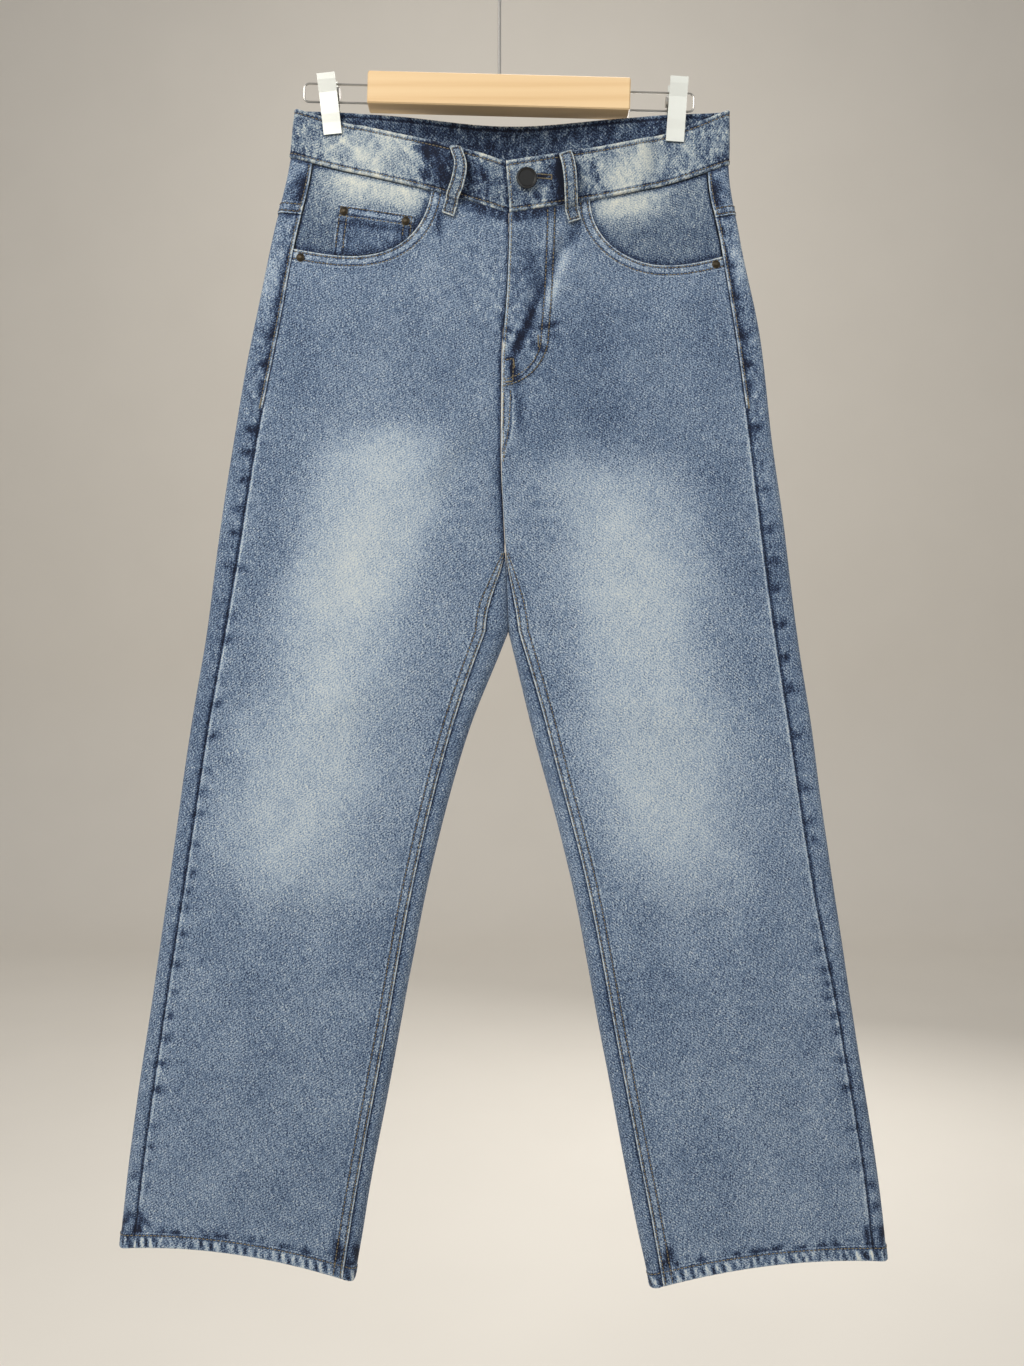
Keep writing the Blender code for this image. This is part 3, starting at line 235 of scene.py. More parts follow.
def face(side, down, front):
    """Distances in from the outer edge, and points to the inner edge, on one face of a half."""
    outer, depth = row_at(OUTER[side], down), row_at(DEPTH, down)
    if down > FORK:
        inner = row_at(INNER[side], down)
        inner_x, inner_z = inner.x, inner.z
    else:
        centre = row_at(CENTRE, down)
        inner_x, inner_z = centre.x, centre.front_z if front else centre.back_z
    width = abs(inner_x - outer.x) - SEAM_SIDE
    turn = 1 - np.cos(np.linspace(0, math.pi / 2, TURN_COUNT))
    middle = np.linspace(depth.edge, width - depth.inner, FACE_COUNT)
    reach = np.concatenate([depth.edge * turn, middle[1:-1], width - depth.inner * turn[::-1]])
    opened = math.sqrt(unit((FORK - down) / SADDLE))
    groove = 1 - (1 - depth.groove) * opened
    share = reach / width
    power = depth.front_power if front else depth.back_power
    body = (1 - (1 - share) ** 2) ** power
    leg = 4 * share * (1 - share)
    fall = 1 - groove * (1 - rounded(width - reach, depth.inner))
    bulge = depth.front if front else depth.back
    out = depth.edge * rounded(reach, depth.edge) * fall
    out += bulge * ((1 - groove) * body + groove * leg)
    x = outer.x - SIGN[side] * reach
    bow = outer.front_bow if front else outer.back_bow
    z = outer.z + (inner_z - outer.z) * (share + bow * share * (1 - share))
    for clip_x in CLIP_X:
        pinch = bell(down - WAIST_TOP, PINCH_DOWN, 4)
        pinch = pinch * bell(x - clip_x, PINCH_ALONG, 4)
        out = out * (1 - pinch) + np.minimum(out, PINCHED) * pinch
    return reach, np.stack([x, -out if front else out, z], -1)


class Half:
    """One half's cloth as a table of places, one row a millimetre down, one column across."""

    DOWNS = np.arange(WAIST_TOP, HEM_EDGE + 0.5)
    ACROSS = np.arange(-300.0, 261.0)

    def __init__(self, side):
        self.side = side
        places, ends = [], []
        for down in self.DOWNS:
            front_reach, front = face(side, down, True)
            _, back = face(side, down, False)
            points = np.concatenate([back[::-1], front[1:]])
            run = run_along(points)
            on_front = run[len(back) - 1 :]
            outer = row_at(OUTER[side], down)
            across = run - np.interp(outer.outseam, front_reach, on_front)
            on_front = across[len(back) - 1 :]
            inseam = np.interp(front_reach[-1] - outer.inseam, front_reach, on_front)
            ends.append((across[-1], across[0], inseam, on_front[0]))
            places.append([np.interp(self.ACROSS, across, points[:, i]) for i in range(3)])
        self.places = np.array(places).transpose(0, 2, 1)
        self.front_end, self.back_end, self.inseam, self.turn = np.array(ends).T

    def at(self, across, down):
        """The bare form's places, between the table's columns and rows."""
        i = np.clip(np.asarray(down, float) - WAIST_TOP, 0, len(self.DOWNS) - 1.001)
        j = np.clip(np.asarray(across, float) - self.ACROSS[0], 0, len(self.ACROSS) - 1.001)
        i, j = np.broadcast_arrays(i, j)
        i0, j0 = i.astype(int), j.astype(int)
        u, v = (i - i0)[..., None], (j - j0)[..., None]
        table = self.places
        above = table[i0, j0] * (1 - v) + table[i0, j0 + 1] * v
        below = table[i0 + 1, j0] * (1 - v) + table[i0 + 1, j0 + 1] * v
        return above * (1 - u) + below * u

    def outward(self, across, down):
        reach = 0.6
        down = np.clip(down, WAIST_TOP + reach, HEM_EDGE - reach)
        along = self.at(across + reach, down) - self.at(across - reach, down)
        fall = self.at(across, down + reach) - self.at(across, down - reach)
        normal = np.cross(along, fall) * SIGN[self.side]
        return normal / np.linalg.norm(normal, axis=-1, keepdims=True)

    def edge(self, name, down):
        return np.interp(down, self.DOWNS, getattr(self, name))

    def front_edge(self, down):
        """Where the front panel ends: the centre front, and from the crotch down the inseam."""
        down = np.asarray(down, float)
        inseam, centre = self.edge("inseam", down), self.edge("front_end", down)
        return np.where(down > FRONT_CROTCH, inseam, centre) - SEAM_SIDE


HALVES = {side: Half(side) for side in ("right", "left")}


# ---- the cloth's own relief ------------------------------------------------------------------
# Fine creases: short ones at fly and crotch, the long soft lie of each leg, seat and thigh.
CREASES = by_side(
    Fold,
    right=(
        (176, 14, 170, 60, 5.0, 0.6), (120, 26, 112, 60, 4.0, -0.7), (10, 92, 42, 116, 5.0, 0.8),
        (24, 84, 60, 108, 5.0, -0.7), (186, 182, 176, 250, 6.0, 0.8),
        (168, 184, 158, 228, 6.0, -0.6), (30, 300, 44, 520, 18, -0.7),
        (150, 700, 138, 880, 20, 0.6), (70, 760, 60, 900, 16, -0.6),
        (-190, 240, -110, 300, 9, -1.3), (-212, 342, -130, 402, 9, 1.2),
        (-60, 430, -170, 470, 18, 1.0), (-90, 720, -96, 880, 20, 0.7),
        (-150, 740, -160, 900, 16, -0.6),
    ),
    left=(
        (172, 96, 156, 152, 4.5, -1.5), (178, 92, 164, 150, 4.0, 1.2),
        (166, 84, 148, 128, 4.0, -0.9), (183, 128, 200, 150, 4.0, -1.3),
        (186, 140, 203, 163, 3.4, 1.0), (176, 130, 190, 158, 3.6, 0.9),
        (128, 24, 142, 58, 3.6, -1.0), (134, 20, 150, 62, 3.2, 0.8), (8, 96, 40, 122, 5.0, 0.7),
        (178, 186, 168, 240, 6.0, 0.8), (190, 190, 184, 262, 5.0, -0.8),
        (30, 310, 46, 540, 18, -0.7), (140, 690, 150, 880, 20, 0.6), (60, 770, 74, 890, 16, -0.6),
        (-186, 236, -104, 290, 9, -1.3), (-208, 338, -124, 396, 9, 1.2),
        (-70, 440, -180, 462, 18, 1.0), (-110, 700, -104, 890, 20, 0.7),
        (-160, 730, -150, 900, 16, -0.6),
    ),
)


def along_mark(mark, across, down):
    """How far along a mark a place lies, as a share; how far off it; and if on the same face."""
    run = np.array([mark.to_across - mark.across, mark.to_down - mark.down], float)
    share = ((across - mark.across) * run[0] + (down - mark.down) * run[1]) / (run @ run)
    near = unit(share)
    off = np.hypot(across - mark.across - run[0] * near, down - mark.down - run[1] * near)
    return share, off, mark.across * across >= 0


def lines(table, side, across, down):
    """The heights of a table's strokes on this half, each fading out at both ends."""
    lift = np.zeros(np.broadcast(across, down).shape)
    for fold in table[side]:
        share, off, same_face = along_mark(fold, across, down)
        fade = np.sin(np.pi * np.clip(share, 0.04, 0.96))
        lift += np.where(same_face, fold.height * fade * bell(off, fold.width), 0)
    return lift


def smooth_noise(x, y, seed, side="left"):
    """Value noise with one cell per unit, from -1 to 1; the right half has the next seed."""
    table = np.random.default_rng(seed + (side == "right")).uniform(-1, 1, (256, 256))
    xi, yi = np.floor(x).astype(int), np.floor(y).astype(int)
    u, v = x - xi, y - yi
    u, v = u * u * (3 - 2 * u), v * v * (3 - 2 * v)

    def corner(i, j):
        return table[(xi + i) % 256, (yi + j) % 256]

    low = corner(0, 0) * (1 - u) + corner(1, 0) * u
    high = corner(0, 1) * (1 - u) + corner(1, 1) * u
    return low * (1 - v) + high * v


# Gathered spots beside the outseams: to which side of the seam, then how far down and how deep.
PUCKERS = {
    "right": {6.0: (
        (352, 0.8), (392, 0.6), (414, 1.0), (448, 0.7), (468, 1.0), (495, 1.0), (525, 0.8),
        (543, 0.7), (562, 0.9), (587, 1.0), (612, 0.8), (628, 0.6), (642, 0.9), (663, 0.8),
        (676, 0.6), (690, 0.9), (714, 0.8), (733, 0.9), (752, 1.1), (775, 0.9), (797, 1.2),
        (827, 1.0), (846, 0.9), (862, 0.6), (880, 0.6)),
    -7.0: (
        (96, 0.6), (122, 0.7), (150, 0.8), (176, 0.9), (232, 1.3), (252, 1.1), (276, 1.0),
        (300, 0.8), (322, 0.9), (350, 0.6), (872, 0.9), (905, 1.2))},
    "left": {-8.0: (
        (60, 0.7), (92, 0.8), (118, 0.8), (150, 1.0), (176, 0.9), (230, 1.1), (262, 0.8),
        (284, 0.8), (318, 1.0), (346, 1.0), (370, 1.1), (400, 1.2), (427, 1.1), (452, 1.0),
        (490, 0.9), (534, 0.8), (562, 0.7), (578, 0.6), (870, 1.1), (888, 1.0), (906, 0.9)),
    6.0: (
        (652, 0.6), (671, 0.7), (688, 0.8), (699, 0.6), (710, 0.9), (727, 0.8), (740, 0.9),
        (764, 1.1), (787, 1.2), (822, 1.0), (850, 0.7))},
}
PUCKER_HEIGHT, PUCKER_NEAR, PUCKER_ACROSS, PUCKER_DOWN = -0.7, 0.72, 5.4, 3.2


def puckers(side, across, down):
    lift = np.zeros(np.broadcast(across, down).shape)
    for beside, spots in PUCKERS[side].items():
        near = ((across - PUCKER_NEAR * beside) / PUCKER_ACROSS) ** 2
        for level, deep in spots:
            lift += deep * np.exp(-near - ((down - level) / PUCKER_DOWN) ** 2)
    return lift


ROPE_PITCH, ROPE_LEAN, ROPE_HEIGHT = 8.2, 0.28, 0.42
SEAM_GROOVE = 1.5


def roping(side, across, down):
    """The twisted ridges of the hem, and the small gathers just above its stitches."""
    up = HEM_EDGE - down
    warp = 4.2 * smooth_noise(across / 17, up / 40, 5, side)
    phase = (across - SIGN[side] * ROPE_LEAN * up + warp) / ROPE_PITCH
    wave = np.sin(2 * np.pi * phase)
    strength = 0.75 + 0.5 * smooth_noise(across / 16, across * 0, 9)
    on_hem = bell(up - 5.0, 5.2, 4)
    above = 0.35 * bell(up - 15.5, 3.6) * smooth_noise(across / 5.5, up / 6, 12)
    return wave * strength * on_hem + above


def band_edge(down):
    """How far a place on the waistband lies from its nearer long edge."""
    return np.minimum(down + BAND_HEIGHT, -SEAM_SIDE - down)


def band_gathers(side, across, down):
    """Uneven upright ridges along the waistband."""
    warp = 3.0 * smooth_noise(across / 24, down / 30, 21)
    fine = smooth_noise((across + warp) / 6.5, down / 26, 22, side)
    edges = bell(down + 40, 9) + bell(down + 5, 8)
    return fine * (0.35 + 0.65 * edges)


def drape(side, across, down):
    """Every fold and crease that all layers share, down to the smallest that shows."""
    across, down = np.asarray(across, float), np.asarray(down, float)
    lift = lines(FOLDS, side, across, down) + lines(CREASES, side, across, down)
    soft = smooth_noise(across / 34 + 7, down / 60, 31, side)
    settle = unit((down + 10) / 60) * unit((HEM_EDGE - down) / 40)
    return lift + 0.55 * soft * settle


def seam_dip(distance, deep=0.55):
    """The groove along a seam."""
    return -deep * bell(distance, SEAM_GROOVE)


def ridge(inside):
    """The felled seam's second layer, by the distance inside the panel's edge."""
    return FELL_RISE * step_up(FELL_WIDTH - inside)


def hem_rise(down):
    return HEM_RISE * step_up(down - (HEM_EDGE - HEM_HEIGHT))


def yoke_seam(across):
    return YOKE_SIDE + (YOKE_CENTRE - YOKE_SIDE) * unit(-across / YOKE_WIDTH)


def fly_distance(half, across, down):
    """How far inside the fly's J a place lies; negative outside it."""
    share = unit((down - FLY_STRAIGHT) / (FLY_END - FLY_STRAIGHT))
    width = FLY_WIDTH * np.sqrt(1 - share**2)
    return np.where(down > FLY_END, -9.0, width - (half.front_edge(down) - across))


def lie(side, across, down):
    """What every outer layer has: the drape, the gathers beside the outseam, and its groove."""
    gathers = PUCKER_HEIGHT * puckers(side, across, down)
    return drape(side, across, down) + gathers + seam_dip(across)


def hem(side, across, down):
    """The hem's roping, and its fold turned under at its very edge."""
    return ROPE_HEIGHT * roping(side, across, down) + rolled(HEM_EDGE - down, 0.8, 1.6)


def front_height(half, across, down):
    side = half.side
    to_seam = half.front_edge(down) - across
    on_leg = down > FRONT_CROTCH
    rise = np.maximum(ridge(to_seam) * unit((down - FRONT_CROTCH) / 20), hem_rise(down))
    if side == "left":
        inside = fly_distance(half, across, down)
        rise = np.maximum(rise, FLY_RISE * step_up(inside))
    lift = lie(side, across, down) + rise + hem(side, across, down) + seam_dip(down + 0.5, 0.4)
    lift += seam_dip(to_seam, np.where(on_leg, 0.5, 0.15))
    gathers = smooth_noise(down / 3.8, across / 40, 41, side)
    return lift + 0.22 * gathers * bell(to_seam - 5, 4.5) * on_leg


def back_height(half, across, down):
    side = half.side
    to_centre = across - half.edge("back_end", down)
    seat = ridge(to_centre) * unit((FRONT_CROTCH - down) / 30)
    rise = np.maximum(seat if side == "right" else 0.0, hem_rise(down))
    lift = lie(side, across, down) + rise + hem(side, across, down)
    return lift + seam_dip(to_centre, 0.5 * (down < FORK)) + seam_dip(down - yoke_seam(across), 0.4)


def tongue_height(half, across, down):
    to_seam = across - half.edge("inseam", down)
    lift = drape(half.side, across, down) * unit(to_seam / 4) + hem_rise(down)
    return lift + hem(half.side, across, down) + seam_dip(to_seam, 0.5)


def yoke_height(half, across, down):
    to_centre, up = across - half.edge("back_end", down), yoke_seam(across) - down
    rise = np.maximum(ridge(up), ridge(to_centre) if half.side == "right" else 0.0)
    lift = lie(half.side, across, down) + rise + seam_dip(to_centre) + seam_dip(down + 0.5, 0.4)
    return lift + 0.25 * smooth_noise(across / 6, down / 20, 51) * bell(up - 5, 6)


# ---- wash and painted shade: how worn, how deep the blue, and where shade is painted ---------
# 0 is the plain washed blue, 1 the palest, -1 the deepest indigo. The fades: the sanded fronts
# of the thighs, the pocket facings, the hips, and seat and thighs behind.
Patch = namedtuple("Patch", "across down to_across to_down width power value")
# The deep rows near the fly on the left half are painted shade of the fly.
FADES_AND_FLY_SHADE = by_side(
    Patch,
    right=(
        (92, 260, 84, 362, 40, 2.8, 0.46), (136, 260, 120, 358, 38, 2.8, 0.44),
        (112, 262, 106, 362, 30, 2.2, 0.25), (97, 432, 82, 570, 58, 2.4, 0.58),
        (118, 300, 112, 540, 84, 2.4, 0.13), (88, 2, 34, 6, 22, 2.4, 0.85),
        (14, 120, 22, 420, 26, 2.0, -0.10), (-110, 300, -116, 600, 60, 2.4, 0.36),
        (-116, 150, -120, 210, 60, 2.2, 0.34),
    ),
    left=(
        (146, 280, 138, 364, 38, 2.8, 0.36), (100, 294, 94, 366, 42, 2.8, 0.34),
        (126, 284, 116, 366, 30, 2.2, 0.22), (119, 434, 116, 556, 60, 2.4, 0.58),
        (112, 300, 110, 540, 84, 2.4, 0.13), (88, 2, 64, 10, 21, 2.4, 0.85),
        (190, 10, 186, 60, 22, 2.2, -0.12), (150, 140, 130, 215, 62, 2.2, -0.22),
        (14, 120, 22, 420, 26, 2.0, -0.10), (-110, 300, -112, 600, 60, 2.4, 0.36),
        (-116, 150, -120, 210, 60, 2.2, 0.34),
    ),
)


def patches(table, side, across, down):
    """Soft fields: the pale ones wear through one another, the deep ones add up."""
    left, total = np.ones(np.broadcast(across, down).shape), 0.0
    for patch in table[side]:
        _, off, same_face = along_mark(patch, across, down)
        amount = patch.value * bell(off, patch.width, patch.power)
        amount = np.where(same_face, amount, 0)
        left = left * (1 - np.clip(amount, 0, None))
        total += np.clip(amount, None, 0)
    return total + 1 - left


# Short lines of painted shade where the cloth is creased hard, and the pale lines worn along
# creases'
# tops: from the front loop down across the fly, under the waistband, at the hems' corners and on
# the hips' outer edges.
CREASE_SHADE_AND_WEAR = by_side(
    Fold,
    right=(
        (182, 100, 200, 124, 2.6, -1.0), (184, 112, 200, 132, 2.4, -0.9),
        (192, 60, 198, 210, 4.0, -0.5), (114, 6, 122, 44, 4.0, -0.9), (120, 6, 206, 7, 4.5, -0.8),
        (2, 896, 3, 924, 2.4, -1.3), (4, 906, 14, 916, 2.6, -0.8), (-6, 908, -17, 916, 3.0, -1.3),
        (171, 898, 177, 922, 3.6, -1.5), (187, 900, 196, 921, 3.6, -1.4),
        (-4, 8, -7, 42, 7.0, -1.1), (-3, 52, -3, 230, 5.0, -0.5), (-16, 60, -14, 150, 8.0, 0.35),
    ),
    left=(
        (116, 18, 134, 48, 4.5, -0.8), (142, 42, 153, 72, 4.6, -0.75),
        (151, 66, 167, 100, 3.8, -0.95), (164, 92, 180, 128, 3.6, -1.55),
        (178, 118, 192, 148, 4.0, -1.5), (162, 30, 164, 92, 6.0, -0.45),
        (126, 34, 145, 78, 4.0, 0.6), (140, 70, 158, 104, 3.6, 0.8),
        (174, 132, 161, 147, 4.0, -0.85), (184, 118, 201, 143, 3.4, 0.9),
        (201, 111, 186, 124, 2.4, -1.2), (201, 120, 190, 134, 2.2, -1.0),
        (170, 122, 146, 117, 3.0, -1.15), (162, 126, 150, 132, 2.6, -0.5),
        (190, 150, 191, 178, 4.0, -0.8), (195, 176, 203, 244, 3.0, 0.35),
        (190, 176, 194, 226, 3.6, -0.5), (201, 147, 190, 148, 1.6, -1.4),
        (192, 145, 195, 174, 1.6, -1.6), (118, 6, 206, 7, 4.5, -0.8),
        (-16, 904, -6, 918, 3.6, -1.5), (3, 900, 4, 922, 3.0, -1.4),
        (171, 902, 178, 922, 3.6, -1.4), (-4, 6, -6, 44, 6.0, -1.0), (-4, 52, -4, 230, 5.0, -0.5),
        (-14, 62, -12, 116, 8.0, 0.5),
    ),
)
BAND_FADES = by_side(
    Patch,
    right=(
        (72, -24, 46, -14, 27, 2.4, 0.66), (30, -14, 24, -12, 26, 2.4, 0.30),
        (112, -36, 118, -14, 13, 2.4, -0.95), (146, -24, 158, -20, 14, 2.4, -0.45),
    ),
    left=(
        (66, -24, 84, -16, 25, 2.4, 0.80), (138, -36, 132, -6, 9, 2.4, -1.1),
        (20, -20, 30, -20, 20, 2.2, 0.15),
    ),
)
# On the waistband: pale lines worn along its crinkles, short dark lines, and painted shade in the
# buttonhole's slit.
BAND_LINES_AND_SHADE = by_side(
    Fold,
    right=(
        (22, -30, 44, -18, 1.8, 0.55), (72, -44, 102, -14, 1.6, 0.7), (64, -26, 50, -4, 1.6, 0.4),
        (84, -36, 108, -15, 1.6, 0.8), (10, -12, 34, -34, 1.8, 0.6), (54, -40, 66, -22, 1.8, -0.35),
        (36, -20, 30, -2, 2.4, -0.4), (100, -40, 112, -20, 2.6, -0.8),
        (92, -24, 104, -8, 2.8, -0.8), (150, -38, 160, -12, 2.6, -0.7),
        (146, -10, 162, -26, 2.0, 0.7),
    ),
    left=(
        (110, -40, 94, -22, 2.0, 0.7), (98, -8, 114, -22, 2.0, 0.6), (108, -38, 100, -8, 4.5, -0.8),
        (152, -8, 141, -22, 2.0, 0.7), (148, -12, 158, -8, 3.0, -0.7), (24, -36, 10, -8, 2.4, 0.5),
        (157, -27.6, 141, -24.4, 1.5, -2.0),
    ),
)


# The edge look: EDGE_LOOK at a seam's edge, 0 clear of it, and one more past the edge itself.
EDGE_LOOK = 16.0
SEAM_REACH = EDGE_LOOK + 1


def rowed(distance):
    """The edge look of a seam with two rows of stitches."""
    return np.clip(EDGE_LOOK - distance, 0, SEAM_REACH)


def hemmed(distance):
    """The same for a hem's single row, as a negative value."""
    return -rowed(distance)


def nearer(first, second):
    """The stronger of two edge looks, each with its way along the seam."""
    other = np.abs(second[0]) > np.abs(first[0])
    return np.where(other, second[0], first[0]), np.where(other, second[1], first[1])


def spread(down):
    """How far the inseam's two rows have drawn apart, below the point where they meet."""
    return np.clip((down - FRONT_CROTCH) / 48, 0.05, 1) ** 0.7


def common_wear_and_shade(side, across, down):
    wear_and_shade = patches(FADES_AND_FLY_SHADE, side, across, down)
    wear_and_shade += 0.09 * smooth_noise(across / 30, down / 44, 61, side)
    wear_and_shade += 0.07 * smooth_noise(across / 9 + 3, down / 12, 65, side)
    # darker in the gathers' dips beside the outseams: partly less worn cloth, partly painted shade
    wear_and_shade -= 0.85 * puckers(side, across, down)
    # the hem's roping: pale worn ridges, with the troughs darker partly as painted shade
    rope = roping(side, across, down)
    up = HEM_EDGE - down
    wear_and_shade += (1.10 * rope - 0.06) * bell(up - 5.5, 5.8, 4)
    specks = unit(smooth_noise(across / 4.2, up / 5, 69, side) + 0.1)
    wear_and_shade -= 1.15 * specks * bell(up - 15.5, 4)
    return wear_and_shade + lines(CREASE_SHADE_AND_WEAR, side, across, down)


def front_looks(half, across, down):
    side = half.side
    wear_and_shade = common_wear_and_shade(side, across, down)
    to_seam = half.front_edge(down) - across
    below = unit((down - FRONT_CROTCH) / 15)
    felled = unit((TACK_END - down) / 4)
    # the outseam's pale ridge and painted shade in its groove, the painted shadow of the band, the
    # inseam's fell
    wear_and_shade += (0.95 - 0.85 * felled) * bell(across - 2.2, 0.9) - 1.3 * bell(across, 1.2)
    wear_and_shade -= 0.9 * bell(down - 1.0, 2.0) * (across > 0)
    wear_and_shade -= below * 0.12 * bell(to_seam - 5, 3.6)
    low = unit((down - 222) / 34)
    # the fly's worn edge, the painted shadow it throws on the other half, and painted shade by that
    # half's centre seam lower down
    if side == "left":
        wear_and_shade += (1 - below) * (1 - 0.75 * low) * bell(to_seam - 0.5, 1.2)
    else:
        wear_and_shade -= (1 - below) * 0.7 * bell(to_seam - 0.5, 1.6)
        wear_and_shade -= low * unit((348 - down) / 26) * 0.5 * bell(to_seam, 7)
    # the rows of stitches: mouth, inseam and hem, and the centre seam under the fly
    mouth, round_mouth = mouth_distance(side, across, down)
    up = HEM_EDGE - down
    edge = nearer((rowed(mouth), round_mouth), (rowed(to_seam / spread(down)) * below, down))
    edge = nearer(edge, (hemmed(up), across))
    if side == "left":
        under_fly = unit((down - FLY_END) / 5) * unit((262 - down) / 50)
        edge = nearer(edge, (rowed(to_seam) * under_fly, down))
    # crumpled at every seam, in the gathers, and most at the fly's lower end
    crumple = 0.05 + 0.45 * bell(mouth, 11) + 0.5 * bell(up, 16) + 0.5 * bell(down, 11)
    crumple += 0.35 * below * bell(to_seam, 10) + 0.28 * bell(across, 11)
    crumple += 0.8 * puckers(side, across, down)
    crumple += 0.5 * bell(to_seam, 42) * unit((150 - down) / 60)
    if side == "left":
        inside = fly_distance(half, across, down)
        # painted shade inside the fly's J
        wear_and_shade -= 0.10 * unit((inside - 10) / 10)
        crumple += 0.5 * bell(np.hypot(across - 178, (down - 135) * 0.8), 30)
    return looks(wear_and_shade, *edge, unit(crumple))


def back_looks(half, across, down):
    side = half.side
    wear_and_shade = common_wear_and_shade(side, across, down)
    topstitched = unit((TACK_END - down) / 4)
    # the outseam's pale topstitched ridge, which ends at its tack, painted shade in the seam's
    # groove below the tack, and painted shade along the row of stitches beside the ridge
    wear_and_shade += (2.1 * topstitched - 0.9) * bell(across + 0.4, 0.9)
    wear_and_shade -= topstitched * 0.9 * bell(across + 2.4, 0.9)
    wear_and_shade += topstitched * 0.3 * bell(across + 4.4, 1.2)
    to_centre = across - half.edge("back_end", down)
    above = unit((FORK - down) / 8)
    # painted shade in the grooves of the seat seam and under the yoke
    wear_and_shade -= above * 0.6 * bell(to_centre, 1.2)
    wear_and_shade -= 0.7 * bell(down - yoke_seam(across) - 0.6, 1.8)
    seat = rowed(to_centre) * above if side == "right" else to_centre * 0
    up = HEM_EDGE - down
    edge = nearer((seat, down), (hemmed(up), across))
    crumple = 0.05 + 0.5 * bell(up, 16) + 0.3 * above * bell(to_centre, 11)
    crumple += 0.32 * bell(across, 10) + 0.8 * puckers(side, across, down)
    crumple += 0.7 * bell(across, 24) * unit((330 - down) / 150)
    wear_and_shade -= 0.16 * bell(across, 22) * unit((600 - down) / 200)
    return looks(wear_and_shade - 0.05, *edge, unit(crumple))


def tongue_looks(half, across, down):
    to_seam = across - half.edge("inseam", down)
    wear_and_shade = common_wear_and_shade(half.side, across, down)
    # painted shade along the inseam's groove, and a little over the whole strip
    wear_and_shade = wear_and_shade - 0.9 * bell(to_seam - 0.5, 1.2) - 0.10
    up = HEM_EDGE - down
    return looks(wear_and_shade, hemmed(up), across, 0.12 + 0.4 * bell(up, 16))


def yoke_looks(half, across, down):
    wear_and_shade = common_wear_and_shade(half.side, across, down)
    to_centre = across - half.edge("back_end", down)
    up = yoke_seam(across) - down
    # the outseam's pale ridge, painted shade in the seat seam's groove and along the row beside the
    # ridge, the painted shadow of the band
    wear_and_shade += 1.2 * bell(across + 0.4, 0.9) - 0.6 * bell(to_centre, 1.2)
    wear_and_shade = wear_and_shade - 0.9 * bell(down - 1.0, 2.0) - 0.08
    wear_and_shade -= 0.9 * bell(across + 2.4, 0.9)
    seat = rowed(to_centre) if half.side == "right" else to_centre * 0
    edge = nearer((rowed(up), across), (seat, down))
    near_side = 0.6 * bell(across, 24)
    return looks(wear_and_shade, *edge, unit(0.35 + 0.2 * bell(up, 10) + near_side))


def band_looks(half, across, down):
    side = half.side
    wear_and_shade = patches(BAND_FADES, side, across, down) + lines(BAND_LINES_AND_SHADE, side, across, down)
    wear_and_shade += 0.50 * band_gathers(side, across, down)
    to_end = half.edge("front_end", down) - across
    # the tab's worn end, and the shadow it throws on the band under it
    if side == "left":
        wear_and_shade += 1.1 * bell(to_end - 0.6, 1.3) - 0.6 * bell(to_end - 3.0, 0.9)
    else:
        wear_and_shade -= 1.2 * bell(to_end, 3.0)
    wear_and_shade += 0.30 * smooth_noise(across / 15, down / 18, 91, side)
    edge = rowed(band_edge(down))
    # a shadow beside each loop
    for _, where, middles in LOOPS:
        if where == side:
            middle = np.interp(down, LOOP_LEVELS, middles)
            wear_and_shade -= 0.75 * bell(np.abs(across - middle) - LOOP_WIDTH / 2, 3.2)
    return looks(wear_and_shade - 0.22, edge, across, 1.0 - 0.7 * unit(1.5 * wear_and_shade))


# ---- the pocket mouths -----------------------------------------------------------------------
Mouth = namedtuple("Mouth", "width depth side_depth corner")
MOUTHS = {"right": Mouth(108, 76, 75, 3.2), "left": Mouth(107, 84.5, 82, 2.9)}
MOUTH_LEAN, MOUTH_COUNT, MOUTH_REACH = 8.0, 201, 40.0


def mouth_curve(side, grow=0.0):
    """The scooped mouth from the waist seam to the outseam; grow moves it into the panel."""
    mouth = MOUTHS[side]
    width, deep = mouth.width + grow, mouth.depth + grow
    angle = np.linspace(0, math.pi / 2, MOUTH_COUNT)
    across = width * unit(np.cos(angle)) ** (2 / mouth.corner)
    down = deep * np.sin(angle) ** (2 / mouth.corner)
    across = across - MOUTH_LEAN * (down / deep) * (across / width)
    down = down - (mouth.depth - mouth.side_depth) * np.clip(1 - across / 60, 0, None)
    return np.stack([np.clip(across, SEAM_SIDE, None), np.clip(down, SEAM_GAP, None)], -1)


def evenly(line, step=None, count=None):
    """Places along a line at an even distance."""
    line = np.asarray(line, float)
    run = run_along(line)
    number = count or max(2, int(round(run[-1] / step)) + 1)
    at = np.linspace(0, run[-1], number)
    return np.stack([np.interp(at, run, line[:, i]) for i in range(2)], -1)


def mouth_side(side, across, down):
    """Whether a place lies in the mouth."""
    curve = mouth_curve(side)
    limit = np.interp(down, curve[:, 1], curve[:, 0], right=-1.0)
    return (across < limit) & (across > 0)


def mouth_distance(side, across, down):
    """How far a place on the front lies from the mouth's edge, up to a limit, and how far round."""
    across, down = np.broadcast_arrays(np.asarray(across, float), np.asarray(down, float))
    curve = evenly(mouth_curve(side), step=1.0)
    near = (down < 130) & (across < 160) & (across > -1)
    distance, along = np.full(across.shape, MOUTH_REACH), np.zeros(across.shape)
    a, d = across[near], down[near]
    best, where = np.full(a.shape, MOUTH_REACH), np.zeros(a.shape)
    for i, (x, y) in enumerate(curve):
        here = np.hypot(a - x, d - y)
        where = np.where(here < best, float(i), where)
        best = np.minimum(best, here)
    distance[near], along[near] = best, where
    return distance, along


